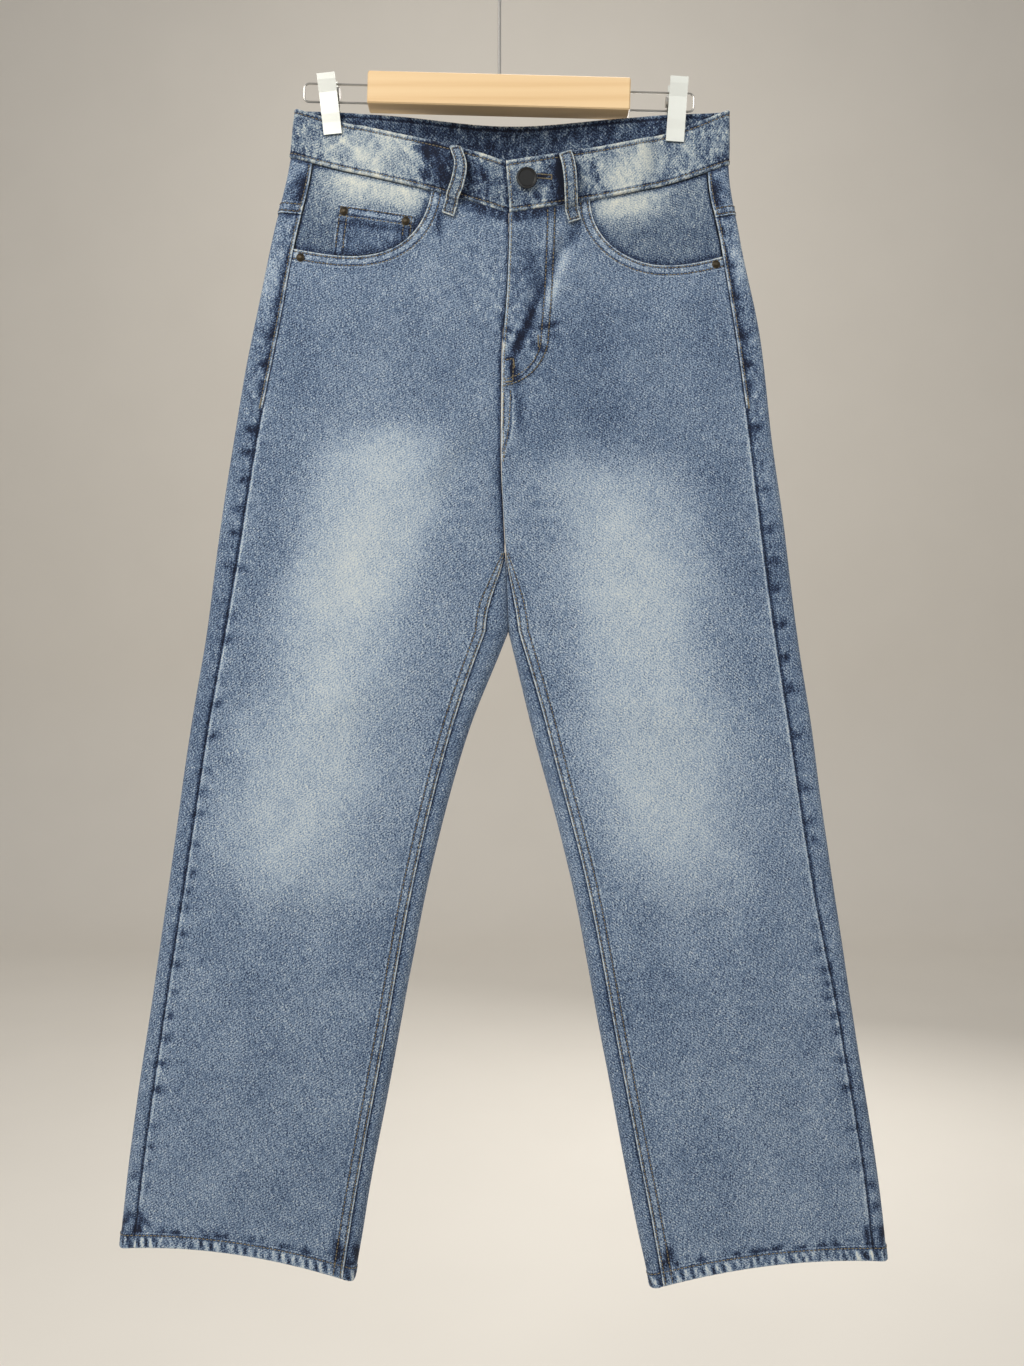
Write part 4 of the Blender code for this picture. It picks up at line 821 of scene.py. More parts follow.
# ---- making pieces ---------------------------------------------------------------------------
Part = namedtuple("Part", "points normals faces cut values")
LOOKS = ("wear_and_shade", "edge", "along", "crumple")
WEAR_AND_SHADE, EDGE = 0, 1
WELD_NEAR, SHARP_FROM = 0.03, 38


def looks(wear_and_shade, edge, along, crumple):
    """The four looks as columns.

    They are the wear with its painted shade, how far the nearest seam's edge is, how far along that
    seam the place lies, both in millimetres, and how crumpled the cloth is, from 0 to 1.
    """
    return np.stack(np.broadcast_arrays(wear_and_shade, edge, along, crumple), -1)


def quads(rows, columns):
    first = np.arange(rows - 1)[:, None] * columns + np.arange(columns - 1)[None, :]
    first = first.reshape(-1)
    return np.stack([first, first + 1, first + columns + 1, first + columns], -1)


def lay(half, across, down, height, wear_and_shade, keep=None, flip=True):
    """A grid of places on a half as one part; keep is a test on the faces' middles."""
    faces = quads(*across.shape)
    across, down = across.reshape(-1).copy(), down.reshape(-1).copy()
    if keep is not None:
        middle = keep(across[faces].mean(1), down[faces].mean(1))
        rim = np.intersect1d(faces[middle], faces[~middle])
        curve = evenly(mouth_curve(half.side), count=900)
        for i in rim:
            nearest = np.argmin(np.hypot(curve[:, 0] - across[i], curve[:, 1] - down[i]))
            across[i], down[i] = curve[nearest]
        faces = faces[middle]
    normals = half.outward(across, down)
    points = half.at(across, down) + height(half, across, down)[:, None] * normals
    if (half.side == "right") != flip:
        faces = faces[:, ::-1]
    used, faces = np.unique(faces, return_inverse=True)
    columns = points, normals, np.stack([across, down], -1), wear_and_shade(half, across, down)
    points, normals, cut, values = (column[used] for column in columns)
    return Part(points, normals, faces.reshape(-1, 4), cut, values)


def joined(parts):
    starts = np.cumsum([0] + [len(part.points) for part in parts])
    parts = [part._replace(faces=part.faces + start) for part, start in zip(parts, starts)]
    return [np.concatenate(column) for column in zip(*parts)]


def read(items, what, size=1, kind=np.int32):
    """One row for each item of a mesh."""
    values = np.empty(len(items) * size, kind)
    items.foreach_get(what, values)
    return values.reshape(-1, size)


def set_look(mesh, name, values):
    layer = mesh.attributes.new(name, "FLOAT", "POINT")
    layer.data.foreach_set("value", np.ascontiguousarray(values, np.float32))


def place(made):
    bpy.context.scene.collection.objects.link(made)
    return made


def make_mesh(name, points, faces, material, cut=None, values=None):
    mesh = bpy.data.meshes.new(name)
    mesh.from_pydata((np.asarray(points) * MM).tolist(), [], [list(f) for f in faces])
    if cut is not None:
        corners = read(mesh.loops, "vertex_index")[:, 0]
        layer = mesh.uv_layers.new(name="cut")
        layer.data.foreach_set("uv", (np.asarray(cut) * MM)[corners].reshape(-1))
        for column, look in enumerate(LOOKS):
            set_look(mesh, look, values[:, column])
    mesh.shade_smooth()
    mesh.set_sharp_from_angle(angle=math.radians(SHARP_FROM))
    mesh.materials.append(material)
    return place(bpy.data.objects.new(name, mesh))


def face_outward(made):
    """Turn a closed mesh's faces round where its volume comes out below nothing."""
    mesh = made.data
    mesh.calc_loop_triangles()
    corners = read(mesh.loop_triangles, "vertices", 3)
    a, b, c = read(mesh.vertices, "co", 3, np.float32)[corners].transpose(1, 0, 2)
    if (a * np.cross(b, c)).sum() < 0:
        mesh.flip_normals()
    return made


INSIDE_WEAR = 0.45


def plain_inside(values):
    """The cloth's paler inside, with no stitches to show."""
    values[:, WEAR_AND_SHADE] = values[:, WEAR_AND_SHADE] * 0.3 + INSIDE_WEAR
    values[:, EDGE] = 0.0
    return values


def shell(name, parts, material, wall=WALL, inside=plain_inside):
    """A closed shell: the cloth's face, its inside, and the rim between them.

    The wall is a thickness, or a function that gives one for each place and its looks.
    """
    points, normals, faces, cut, values = weld(*joined(parts))
    walls = wall(cut, values) if callable(wall) else np.full(len(points), wall)
    inner = points - normals * walls[:, None]
    under = len(points)
    ring = np.concatenate([faces[:, [i, (i + 1) % 4]] for i in range(4)])
    ring = ring[ring[:, 0] != ring[:, 1]]
    keys = set(map(tuple, ring.tolist()))
    rim = [[b, a, a + under, b + under] for a, b in ring.tolist() if (b, a) not in keys]
    every = [tidy(f) for f in faces.tolist()]
    every += [tidy(f[::-1]) for f in (faces + under).tolist()] + rim
    return face_outward(make_mesh(
        name,
        np.concatenate([points, inner]),
        [f for f in every if len(f) > 2],
        material,
        np.concatenate([cut, cut]),
        np.concatenate([values, inside(values.copy())]),
    ))


def tidy(loop):
    return [v for i, v in enumerate(loop) if v != loop[i - 1]]


def weld(points, normals, faces, cut, values):
    """Join places that coincide, so that parts laid side by side make one sheet."""
    order = np.round(points / WELD_NEAR).astype(int)
    _, first, number = np.unique(order, axis=0, return_index=True, return_inverse=True)
    number = number.reshape(-1)
    sums = np.zeros((len(first), 3))
    np.add.at(sums, number, normals)
    sums = sums / np.linalg.norm(sums, axis=1, keepdims=True)
    return points[first], sums, number[faces], cut[first], values[first]


def steps_to(*stops):
    """Levels through (place, step, place, step, place ...), each run evenly divided."""
    levels = [stops[0]]
    for i in range(0, len(stops) - 1, 2):
        start, step, end = stops[i : i + 3]
        number = max(1, int(round(abs(end - start) / step)))
        levels += [start + (end - start) * (k + 1) / number for k in range(number)]
    return np.array(levels)


# ---- materials -------------------------------------------------------------------------------
class Nodes:
    """A short way to write a material's nodes."""

    def __init__(self, name):
        self.material = bpy.data.materials.new(name)
        self.material.use_nodes = True
        self.tree = self.material.node_tree
        self.shader = self.tree.nodes["Principled BSDF"]

    def add(self, kind, inputs=(), **settings):
        node = self.tree.nodes.new("ShaderNode" + kind)
        for key, value in settings.items():
            setattr(node, key, value)
        for key, value in dict(inputs).items():
            self.put(node.inputs[key], value)
        return node

    def put(self, socket, value):
        if isinstance(value, bpy.types.NodeSocket):
            self.tree.links.new(value, socket)
        else:
            socket.default_value = value

    def math(self, operation, *values):
        node = self.add("Math", operation=operation)
        for socket, value in zip(node.inputs, values):
            self.put(socket, value)
        return node.outputs[0]

    def times(self, value, gain):
        return self.math("MULTIPLY", value, gain)

    def centred(self, texture, gain=1.0):
        return self.times(self.math("SUBTRACT", texture, 0.5), gain)

    def total(self, start, *terms):
        """A start and, one after another, each value times its gain."""
        for value, gain in terms:
            start = self.math("MULTIPLY_ADD", value, gain, start)
        return start

    def local(self):
        return self.add("TexCoord").outputs["Object"]

    def mapped(self, vector, **inputs):
        return self.add("Mapping", {"Vector": vector, **inputs}).outputs[0]

    def noise(self, vector, scale=1.0, detail=2.0, rough=0.5):
        inputs = {"Vector": vector, "Scale": scale, "Detail": detail, "Roughness": rough}
        return self.add("TexNoise", inputs).outputs["Fac"]

    def wave(self, vector, axis, scale, distortion, detail, detail_scale):
        inputs = {"Vector": vector, "Scale": scale, "Distortion": distortion, "Detail": detail,
                  "Detail Scale": detail_scale}
        return self.add("TexWave", inputs, bands_direction=axis).outputs["Fac"]

    def ramp(self, value, *stops):
        node = self.add("ValToRGB", {"Fac": value})
        elements = node.color_ramp.elements
        while len(elements) < len(stops):
            elements.new(0.5)
        for element, (position, colour) in zip(elements, stops):
            element.position = position
            element.color = (*colour, 1.0)
        return node.outputs["Color"]

    def bump(self, height, strength, distance, normal=None):
        inputs = {"Height": height, "Strength": strength, "Distance": distance}
        if normal is not None:
            inputs["Normal"] = normal
        return self.add("Bump", inputs).outputs["Normal"]

    def finish(self, **sockets):
        for name, value in sockets.items():
            self.put(self.shader.inputs[name.replace("_", " ")], value)
        return self.material


def linear(*srgb):
    """A colour read as 0 to 255 on a screen, as the shader's linear light."""
    shares = [c / 255 for c in srgb]
    return tuple(c / 12.92 if c <= 0.04045 else ((c + 0.055) / 1.055) ** 2.4 for c in shares)


def greys(stops, reach):
    """Ramp stops from rows of (distance, value), with reach at the ramp's end."""
    return [(distance / reach, (value, value, value)) for distance, value in stops]


WASH = (
    (0.00, linear(8, 16, 34)),
    (0.20, linear(26, 41, 70)),
    (0.36, linear(61, 81, 109)),
    (0.50, linear(94, 114, 138)),
    (0.68, linear(140, 157, 175)),
    (0.84, linear(179, 189, 195)),
    (1.00, linear(206, 207, 196)),
)
# The waistband and the pocket facings have washed out greyer.
GREY_WASH = WASH[:3] + (
    (0.50, linear(94, 112, 130)),
    (0.68, linear(142, 155, 164)),
    (0.84, linear(180, 186, 183)),
    (1.00, linear(208, 207, 192)),
)

# What shows beside a seam: (distance from its edge, value), where 0.5 leaves the cloth as it is;
# the pale stops are worn folded edges, the dark stops painted shade in the stitches' grooves and
# past each seam's step.
TWO_ROWS = (
    (-1, 0.96), (0.9, 0.92), (1.5, 0.16), (2.6, 0.12), (3.5, 0.60), (6.7, 0.56), (7.6, 0.12),
    (8.7, 0.14), (9.7, 0.72), (11.2, 0.40), (15.5, 0.5),
)
HEM_ROW = (
    (-1, 0.85), (0.8, 0.66), (2.4, 0.5), (9.8, 0.5), (11.0, 0.14), (12.0, 0.16), (13.0, 0.66),
    (14.2, 0.36), (15.5, 0.5),
)
BAND_ROW = (
    (-1, 0.82), (1.2, 0.76), (2.4, 0.58), (3.5, 0.06), (4.5, 0.08), (5.6, 0.62), (8.0, 0.5),
)
LOOP_ROW = (
    (-1, 1.0), (0.9, 0.96), (1.5, 0.06), (2.6, 0.06), (3.3, 0.56), (5.5, 0.52), (15.5, 0.5),
)
# The same for the fly, with painted shade in the grooves of the J's two rows: how far inside its J,
# from FLY_CLEAR outside it to FLY_REACH in all.
FLY_CLEAR, FLY_REACH = 8.0, 24.0
FLY_ROWS = greys((
    (0, 0.5), (5.5, 0.5), (7.0, 0.58), (7.9, 0.16), (9.0, 0.10), (10.0, 0.56), (13.4, 0.54),
    (14.2, 0.12), (15.2, 0.12), (16.2, 0.58), (19.0, 0.5), (24.0, 0.5),
), FLY_REACH)
FLY_NEAR = greys(((0, 0), (5.5, 0), (9, 0.8), (14, 0.8), (20, 0)), FLY_REACH)
TWILL_TURN = -52


def seam_stops(rows, hem_rows):
    """Ramp stops over the edge look: a hem's row on the left, a seam's two rows on the right."""
    stops = [(SEAM_REACH - (EDGE_LOOK - d), v) for d, v in hem_rows]
    stops += [(SEAM_REACH + (EDGE_LOOK - d), v) for d, v in reversed(rows)]
    return greys(stops, 2 * SEAM_REACH)


def denim(name, rows, hem_rows, marbling=0.5, wash=WASH):
    """Washed twill in the cut's own directions.

    Its colour follows the wear with its painted shade, the rows of stitches near each seam, short
    gathers square to the seam, marbling where the cloth is crumpled, and the uneven blue and white
    threads themselves.
    """
    n = Nodes(name)
    cut = n.add("UVMap", uv_map="cut").outputs["UV"]
    wear_and_shade, edge, along, crumple, fly = (
        n.add("Attribute", attribute_name=look).outputs["Fac"] for look in (*LOOKS, "fly")
    )

    def turned(degrees):
        return n.mapped(cut, Rotation=(0, 0, math.radians(degrees)))

    def stretched(across, down, detail=2.0, rough=0.5, turn=None):
        """Noise with cells of this size in millimetres."""
        spot = cut if turn is None else turned(turn)
        return n.noise(n.mapped(spot, Scale=(1000 / across, 1000 / down, 1)), 1.0, detail, rough)

    share = n.math("MULTIPLY_ADD", edge, 0.5 / SEAM_REACH, 0.5)
    fly_share = n.times(fly, 1 / FLY_REACH)
    fly_rows = n.centred(n.ramp(fly_share, *FLY_ROWS))
    seam_mark = n.total(fly_rows, (n.centred(n.ramp(share, *seam_stops(rows, hem_rows))), 1.0))

    # short gathers square to the seams: paler on their tops, with painted shade between them
    strokes = {"X": n.times(along, 1 / 3.4), "Y": n.times(edge, 1 / 11.0)}
    strokes = n.noise(n.add("CombineXYZ", strokes).outputs[0], 1.0, 1.5, 0.6)
    near_seam = n.times(n.math("ABSOLUTE", edge), 1 / EDGE_LOOK)
    near = n.math("MAXIMUM", near_seam, n.ramp(fly_share, *FLY_NEAR))
    gather = n.times(n.centred(strokes, 2.6), near)

    # marbling: soft blotches and thin creases where the cloth is crumpled
    blotch = n.ramp(stretched(7, 10, 4.0, 0.62), (0.40, (0, 0, 0)), (0.60, (1, 1, 1)))
    crease = n.math("ABSOLUTE", n.math("SUBTRACT", stretched(11, 19, 2.5, 0.6, turn=24), 0.5))
    crease = n.math("MAXIMUM", n.math("SUBTRACT", 1.0, n.times(crease, 22.0)), 0.0)
    marble = n.times(n.total(0.0, (n.centred(blotch), 0.50), (crease, 0.30)), crumple)

    # the threads: speckle along the twill, slubs along the warp, and larger mottling
    speckle = stretched(1.0, 1.45, 3.0, 0.85, turn=TWILL_TURN)
    slub, mottle = stretched(0.9, 8), stretched(4.5, 6, 3.0, 0.6)
    twill = n.wave(turned(TWILL_TURN), "X", 140.0, 1.2, 1.0, 3.0)
    value = n.total(
        0.485, (wear_and_shade, 0.42), (seam_mark, 0.62), (gather, 0.30), (marble, marbling),
        (n.centred(stretched(28, 42, 3.0)), 0.10),
    )
    fading = {"Value": value, "From Min": 0.55, "From Max": 0.85, "To Min": 1.0, "To Max": 0.55}
    plainness = n.add("MapRange", fading).outputs[0]
    grain = n.total(n.centred(speckle, 2.8), (n.centred(slub), 0.60), (n.centred(mottle), 0.16),
                    (n.centred(twill), 0.14))
    colour = n.ramp(n.total(value, (grain, plainness)), *wash)

    weave = n.bump(n.total(0.0, (twill, 0.3), (speckle, 0.9)), 0.20, 0.0003)
    relief = n.total(0.0, (seam_mark, 0.8), (gather, 0.8), (marble, 0.7))
    return n.finish(
        Base_Color=colour, Roughness=0.9, Normal=n.bump(relief, 0.55, 0.0011, weave),
        Specular_IOR_Level=0.22, Sheen_Weight=0.08, Sheen_Roughness=0.6,
    )


def thread(name, light, dark):
    n = Nodes(name)
    mix = n.noise(n.local(), 900.0)
    colour = n.ramp(mix, (0.35, dark), (0.65, light))
    return n.finish(Base_Color=colour, Roughness=0.7, Normal=n.bump(mix, 0.4, 0.0003))


def pine():
    """Straight grain along the bar, with fine pores and a thin satin varnish."""
    n = Nodes("pine")
    spot = n.local()
    rings = n.wave(n.mapped(spot, Scale=(1.3, 16.0, 26.0)), "Z", 1.1, 7.0, 3.0, 0.8)
    streaks = n.noise(n.mapped(spot, Scale=(9, 300, 420)), 1.0, 4.0)
    colour = n.ramp(
        n.total(n.times(rings, 0.5), (streaks, 0.45)),
        (0.10, linear(229, 197, 149)),
        (0.55, linear(225, 191, 142)),
        (0.85, linear(216, 179, 128)),
        (1.00, linear(202, 160, 110)),
    )
    return n.finish(Base_Color=colour, Roughness=0.42, Normal=n.bump(streaks, 0.12, 0.0004),
                    Coat_Weight=0.25, Coat_Roughness=0.3)


def metal(name, colour, roughness, scratch=0.0):
    n = Nodes(name)
    marks = n.noise(n.mapped(n.local(), Scale=(60, 60, 500)), 1.0, 4.0)
    rough = n.total(roughness, (marks, 0.14))
    if scratch:
        n.finish(Normal=n.bump(marks, scratch, 0.0003))
    return n.finish(Base_Color=(*colour, 1.0), Roughness=rough, Metallic=1.0)


DENIM = denim("denim_washed", TWO_ROWS, HEM_ROW)
BAND = denim("denim_band", BAND_ROW, LOOP_ROW, 0.62, GREY_WASH)
FACING = denim("denim_facing", TWO_ROWS, HEM_ROW, wash=GREY_WASH)
TAN = thread("thread_tan", linear(146, 132, 98), linear(88, 80, 62))
PINE = pine()
STEEL = metal("steel_bright", linear(222, 222, 212), 0.40)
WIRE = metal("steel_wire", linear(184, 180, 172), 0.30)
BRASS = metal("brass_dark", linear(66, 59, 48), 0.36, 0.3)
BLACK = metal("button_black", linear(58, 58, 57), 0.33, 0.25)


# ---- panels ----------------------------------------------------------------------------------
def sheet(piece, node):
    """Ride and replace one cut piece of cloth."""
    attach(piece, "root")
    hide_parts(node)
    corners = read(piece.data.uv_layers["cut"].data, "uv", 2, np.float32).astype(float)
    return piece


def one_piece(name, node, half, grid, height, wear_and_shade, material=DENIM, wall=WALL):
    """A sheet cut from a single grid of places."""
    piece = shell(f"cloth_{name}", [lay(half, *grid, height, wear_and_shade)], material, wall)
    return sheet(piece, node)


HEM_LEVELS = 3.0, 900, 1.6, 918, 0.9, HEM_EDGE
PANEL_ROWS = steps_to(SEAM_GAP, 2.2, 180, *HEM_LEVELS)


def spread_columns(width, fine=1.5, plain=3.0, edge=18.0):
    """Shares from 0 to 1 that put finer columns near both ends of a typical row."""
    return steps_to(0.0, fine, edge, plain, width - edge, fine, width) / width


def hemmed_wall(cut, _):
    return WALL + 2 * hem_rise(cut[:, 1])


def front_panel(side):
    half = HALVES[side]
    width = half.front_edge(PANEL_ROWS) - SEAM_SIDE
    grid = np.broadcast_arrays(
        SEAM_SIDE + width[:, None] * spread_columns(185), PANEL_ROWS[:, None]
    )
    part = lay(half, *grid, front_height, front_looks, flip=False,
               keep=lambda a, d: ~mouth_side(side, a, d))
    piece = shell(f"cloth_front_{side}", [part], DENIM, hemmed_wall)
    if side == "left":
        mark_fly(piece.data, half)
    mouth = mouth_curve(side)
    return sheet(piece, f"front_{side}")


def mark_fly(mesh, half):
    """How far inside the fly's J each place lies, from 0 clear outside to all of it inside."""
    cut = np.zeros((len(mesh.vertices), 2))
    corners = read(mesh.loops, "vertex_index")[:, 0]
    cut[corners] = read(mesh.uv_layers["cut"].data, "uv", 2, np.float32) / MM
    inside = fly_distance(half, cut[:, 0], cut[:, 1])
    set_look(mesh, "fly", np.clip(inside + FLY_CLEAR, 0, FLY_REACH))


def back_panel(side):
    """One cut piece that wraps round both edges of the leg, its tongue up to the front inseam."""
    half = HALVES[side]
    rows = np.concatenate([steps_to(YOKE_CENTRE + 3, 2.6, 200, 3.0, 396, 1.25, 406),
                           steps_to(406, *HEM_LEVELS)[1:]])
    bend = 8 - half.edge("turn", rows)[:, None]
    beyond = -half.edge("back_end", rows)[:, None] - bend
    near, far = np.linspace(0, 1, 12), spread_columns(205)[1:]
    across = -np.concatenate([SEAM_SIDE + (bend - SEAM_SIDE) * near, bend + beyond * far], 1)
    top = np.linspace(0, 1, 12)[:-1, None]
    seam = yoke_seam(across[0]) + SEAM_SIDE
    down = np.repeat(rows[:, None], across.shape[1], 1)
    down = np.concatenate([seam + (down[0] - seam) * top, down])
    grid = np.concatenate([np.repeat(across[:1], len(top), 0), across]), down
    inner = np.concatenate([[TONGUE_TIP], rows[rows > TONGUE_TIP + 1.5]])[:, None]
    start = half.edge("inseam", inner) + SEAM_SIDE
    width = half.edge("front_end", inner) - start
    tongue = np.broadcast_arrays(start + width * np.linspace(0, 1, 9), inner)
    parts = [lay(half, *grid, back_height, back_looks),
             lay(half, *tongue, tongue_height, tongue_looks, flip=False)]
    across, down = parts[1].cut.T
    parts[1].cut[:, 0] = half.edge("back_end", down) - (half.edge("front_end", down) - across)
    piece = shell(f"cloth_back_{side}", parts, DENIM, hemmed_wall)
    return sheet(piece, f"back_{side}")


def yoke(side):
    half = HALVES[side]
    shares = np.concatenate([np.linspace(0, 0.2, 16), np.linspace(0.2, 1, 66)[1:]])

    def across_at(down):
        return -(SEAM_SIDE + (-half.edge("back_end", down) - SEAM_SIDE) * shares)

    seam = yoke_seam(across_at(30)) - SEAM_SIDE
    down = SEAM_GAP + (seam - SEAM_GAP) * np.linspace(0, 1, 24)[:, None]
    return one_piece(f"yoke_{side}", f"yoke_{side}", half, (across_at(down), down),
                     yoke_height, yoke_looks)


FACING_LAP, FACING_CLEAR = 16.0, 1.2
FACING_TOP = -WALL - LAYER_GAP


def facing_height(half, across, down):
    return drape(half.side, across, down) + FACING_TOP + seam_dip(down + 0.5, 0.4)


def facing_looks(half, across, down):
    side = half.side
    wear_and_shade = patches(FADES_AND_FLY_SHADE, side, across, down) - 0.22 * unit((down - 20) / 22)
    wear_and_shade += 0.12 * smooth_noise(across / 14, down / 14, 101)
    mouth, along = mouth_distance(side, across, down)
    # painted shade under the mouth's edge and under the band
    wear_and_shade = wear_and_shade - 0.65 * bell(mouth, 5.0) - 0.8 * bell(down - 1, 2.2)
    if side == "right":
        wear_and_shade -= 0.45 * bell(across - 104, 6) * (down > 8)
    # painted shade along the outseam's groove
    wear_and_shade -= 0.7 * bell(across - 1, 1.5)
    return looks(wear_and_shade, 0.0, along, 0.30 + 0.3 * bell(down, 14))


def facing(side):
    count = 90
    edge = evenly(mouth_curve(side, FACING_LAP), count=count)
    edge[:, 0] = np.clip(edge[:, 0], FACING_CLEAR, None)
    tops = np.linspace(edge[0][0], FACING_CLEAR, count), np.full(count, SEAM_GAP)
    tops = np.stack(tops, -1)[:, None]
    places = tops + (edge[:, None] - tops) * np.linspace(0, 1, 60)[:, None]
    return one_piece(f"facing_{side}", f"pocket_facing_{side}", HALVES[side],
                     places[1:].transpose(2, 0, 1), facing_height, facing_looks,
                     FACING)


COIN_LEFT, COIN_WIDTH, COIN_BAND, COIN_LEAN = 30.0, 66.5, 13.0, 5.0 / 45


def coin_top(share):
    return 30.0 - 4.0 * share


def coin_place(share, fall):
    return COIN_LEFT + COIN_WIDTH * share + COIN_LEAN * fall, coin_top(share) + fall


def coin_height(half, across, down):
    share = (across - COIN_LEFT) / COIN_WIDTH
    fall = down - coin_top(share)
    lift = drape(half.side, across, down) - 0.15
    lift += 0.8 * HEM_RISE * step_up(COIN_BAND - fall)
    for inside in (fall, share * 66, (1 - share) * 66):
        lift += rolled(inside, 0.5, 1.2)
    return lift


def coin_looks(half, across, down):
    share = (across - COIN_LEFT - COIN_LEAN * (down - 30.0)) / COIN_WIDTH
    fall = down - coin_top(share)
    wear_and_shade = -0.34 + 0.16 * smooth_noise(across / 8, down / 8, 111)
    # a pale worn top band, painted shade under its step, and the painted shadow of the mouth's edge
    # over the pocket
    wear_and_shade += 0.35 * bell(fall - 5.5, 3.0) - 0.45 * bell(fall - COIN_BAND - 2.0, 2.5)
    wear_and_shade -= 0.5 * bell(mouth_distance(half.side, across, down)[0], 5)
    side = np.minimum(share, 1 - share) * COIN_WIDTH
    side = rowed(side) * unit((fall - 9) / 3)
    return looks(wear_and_shade, *nearer((rowed(fall), across), (side, down)), 0.45)


def coin_pocket():
    """Its lower end runs behind the edge of the pocket's mouth."""
    curve = mouth_curve("right", -0.8)
    falls = np.linspace(2, 70, 400)
    rows = []
    for share in np.linspace(0, 1, 40):
        across, down = coin_place(share, falls)
        inside = across < np.interp(down, curve[:, 1], curve[:, 0], right=-1)
        deep = falls[inside][-1] if inside.any() else falls[0]
        rows.append(coin_place(share, np.linspace(0, deep, 34)))
    return one_piece("coin_pocket", "coin_pocket", HALVES["right"],
                     np.array(rows).transpose(1, 0, 2), coin_height, coin_looks,
                     wall=1.0)


BackPocket = namedtuple(
    "BackPocket", "centre top slope lean top_width low_width side_depth point_depth band"
)
POCKET = BackPocket(-112.0, 96.0, 8.0, -0.1, 150.0, 132.0, 128.0, 152.0, 24.0)
PATCH_GAP = 0.5


def pocket_half_width(fall):
    taper = unit(fall / POCKET.side_depth)
    return POCKET.top_width / 2 + (POCKET.low_width - POCKET.top_width) / 2 * taper


def pocket_place(share, fall):
    level = POCKET.top + POCKET.slope * (1 - share) / 2
    return POCKET.centre + pocket_half_width(fall) * share + POCKET.lean * fall, level + fall


def pocket_bottom(share):
    return POCKET.side_depth + (POCKET.point_depth - POCKET.side_depth) * (1 - np.abs(share))


def pocket_inside(share, fall):
    """How far a place lies from the patch's nearest edge."""
    return np.minimum(
        np.minimum((1 - np.abs(share)) * 70, fall), (pocket_bottom(share) - fall) * 0.92
    )


def pocket_lift(side, across, down, edge, fall):
    """The patch's face: a doubled band at its top, a soft crown and gathers along its edge."""
    band = HEM_RISE * step_up(POCKET.band - fall)
    crown = 1.6 * np.sin(np.pi * unit(fall / 130)) * unit(edge / 40)
    lift = drape(side, across, down) + PATCH_GAP + WALL + band + crown
    return lift + 0.22 * smooth_noise(across / 5, down / 5, 121) * bell(edge - 3, 4)


def back_pocket(side):
    columns = steps_to(-1, 0.018, -0.93, 0.035, 0.93, 0.018, 1)
    share, part = np.meshgrid(columns, np.linspace(0, 1, 66))
    fall = part * pocket_bottom(share)
    edge, deep = pocket_inside(share, fall).reshape(-1), fall.reshape(-1)

    def height(_, a, d):
        return pocket_lift(side, a, d, edge, deep) + rolled(edge, 0.7, 1.3)

    def wear_and_shade(_, a, d):
        # painted shade under the step of the pocket's top band
        value = common_wear_and_shade(side, a, d) - 0.05 - 0.35 * bell(deep - POCKET.band - 1.5, 2.0)
        return looks(value, rowed(edge), a + d, 0.2 + 0.4 * bell(edge, 12))

    return one_piece(f"back_pocket_{side}", f"back_pocket_{side}", HALVES[side],
                     pocket_place(share, fall), height, wear_and_shade, wall=1.1)


SHIELD_WIDTH, SHIELD_END, SHIELD_INSET, SHIELD_GAP = 44.0, 154.0, 3.0, 1.2


def shield_height(half, across, down):
    return drape(half.side, across, down) - WALL - SHIELD_GAP


def shield_looks(_, across, down):
    return looks(-0.3 + 0.15 * smooth_noise(across / 9, down / 9, 131), 0.0, across, 0.3)


def fly_shield():
    half = HALVES["left"]
    rows = np.linspace(SEAM_GAP, SHIELD_END, 60)[:, None]
    width = (SHIELD_WIDTH - SHIELD_INSET) * np.linspace(0, 1, 16)
    grid = np.broadcast_arrays(half.front_edge(rows) - SHIELD_INSET - width, rows)
    return one_piece("fly_shield", "fly_shield", half, grid, shield_height, shield_looks)


# ---- waistband -------------------------------------------------------------------------------
BAND_TUCK = BAND_IN - BAND_OUT - LAYER_GAP
BAND_ROLL = 0.9, 1.3


def band_stations(down):
    """Side, across and tuck of each station round one level of the strip."""
    stations = []
    for side, half in (("left", HALVES["left"]), ("right", HALVES["right"])):
        names = "turn", "front_end", "back_end"
        turn, end, back = (float(half.edge(name, down)) for name in names)
        if side == "left":
            tab = end
        else:
            end -= UNDERLAP_RAMP
        run = np.concatenate([
            np.linspace(end, turn + 14, 70)[:-1],
            np.linspace(turn + 14, turn - 14, 22)[:-1],
            np.linspace(turn - 14, back, 70),
        ])
        stations += [(side, a, 0.0) for a in (run if side == "left" else run[::-1][1:])]
    for k in np.linspace(0.08, 0.97, 11):
        stations.append(("right", end + UNDERLAP_RAMP * k, BAND_TUCK * min(k / 0.9, 1) ** 1.5))
    for k in np.linspace(0.06, 1, 10):
        stations.append(("left", tab - UNDERLAP * k, BAND_TUCK))
    return stations


def band_height(half, across, down):
    edge = band_edge(down)
    plump = 0.30 * np.sin(np.pi * unit((edge - 3) / 38))
    plump = plump + 0.35 * bell(edge - 1.6, 1.3)
    lift = 0.45 * band_gathers(half.side, across, down) + plump
    ends = np.clip(np.abs(across - half.edge("front_end", down)) / 6, 0.2, 1)
    return BAND_OUT + lift * ends + rolled(edge, *BAND_ROLL)


def band_inside(values):
    """The band is faced with the same cloth, as gathered, with the same rows; painted shade darkens
    it.
    """
    values[:, WEAR_AND_SHADE] = values[:, WEAR_AND_SHADE] * 0.5 - 0.62
    return values


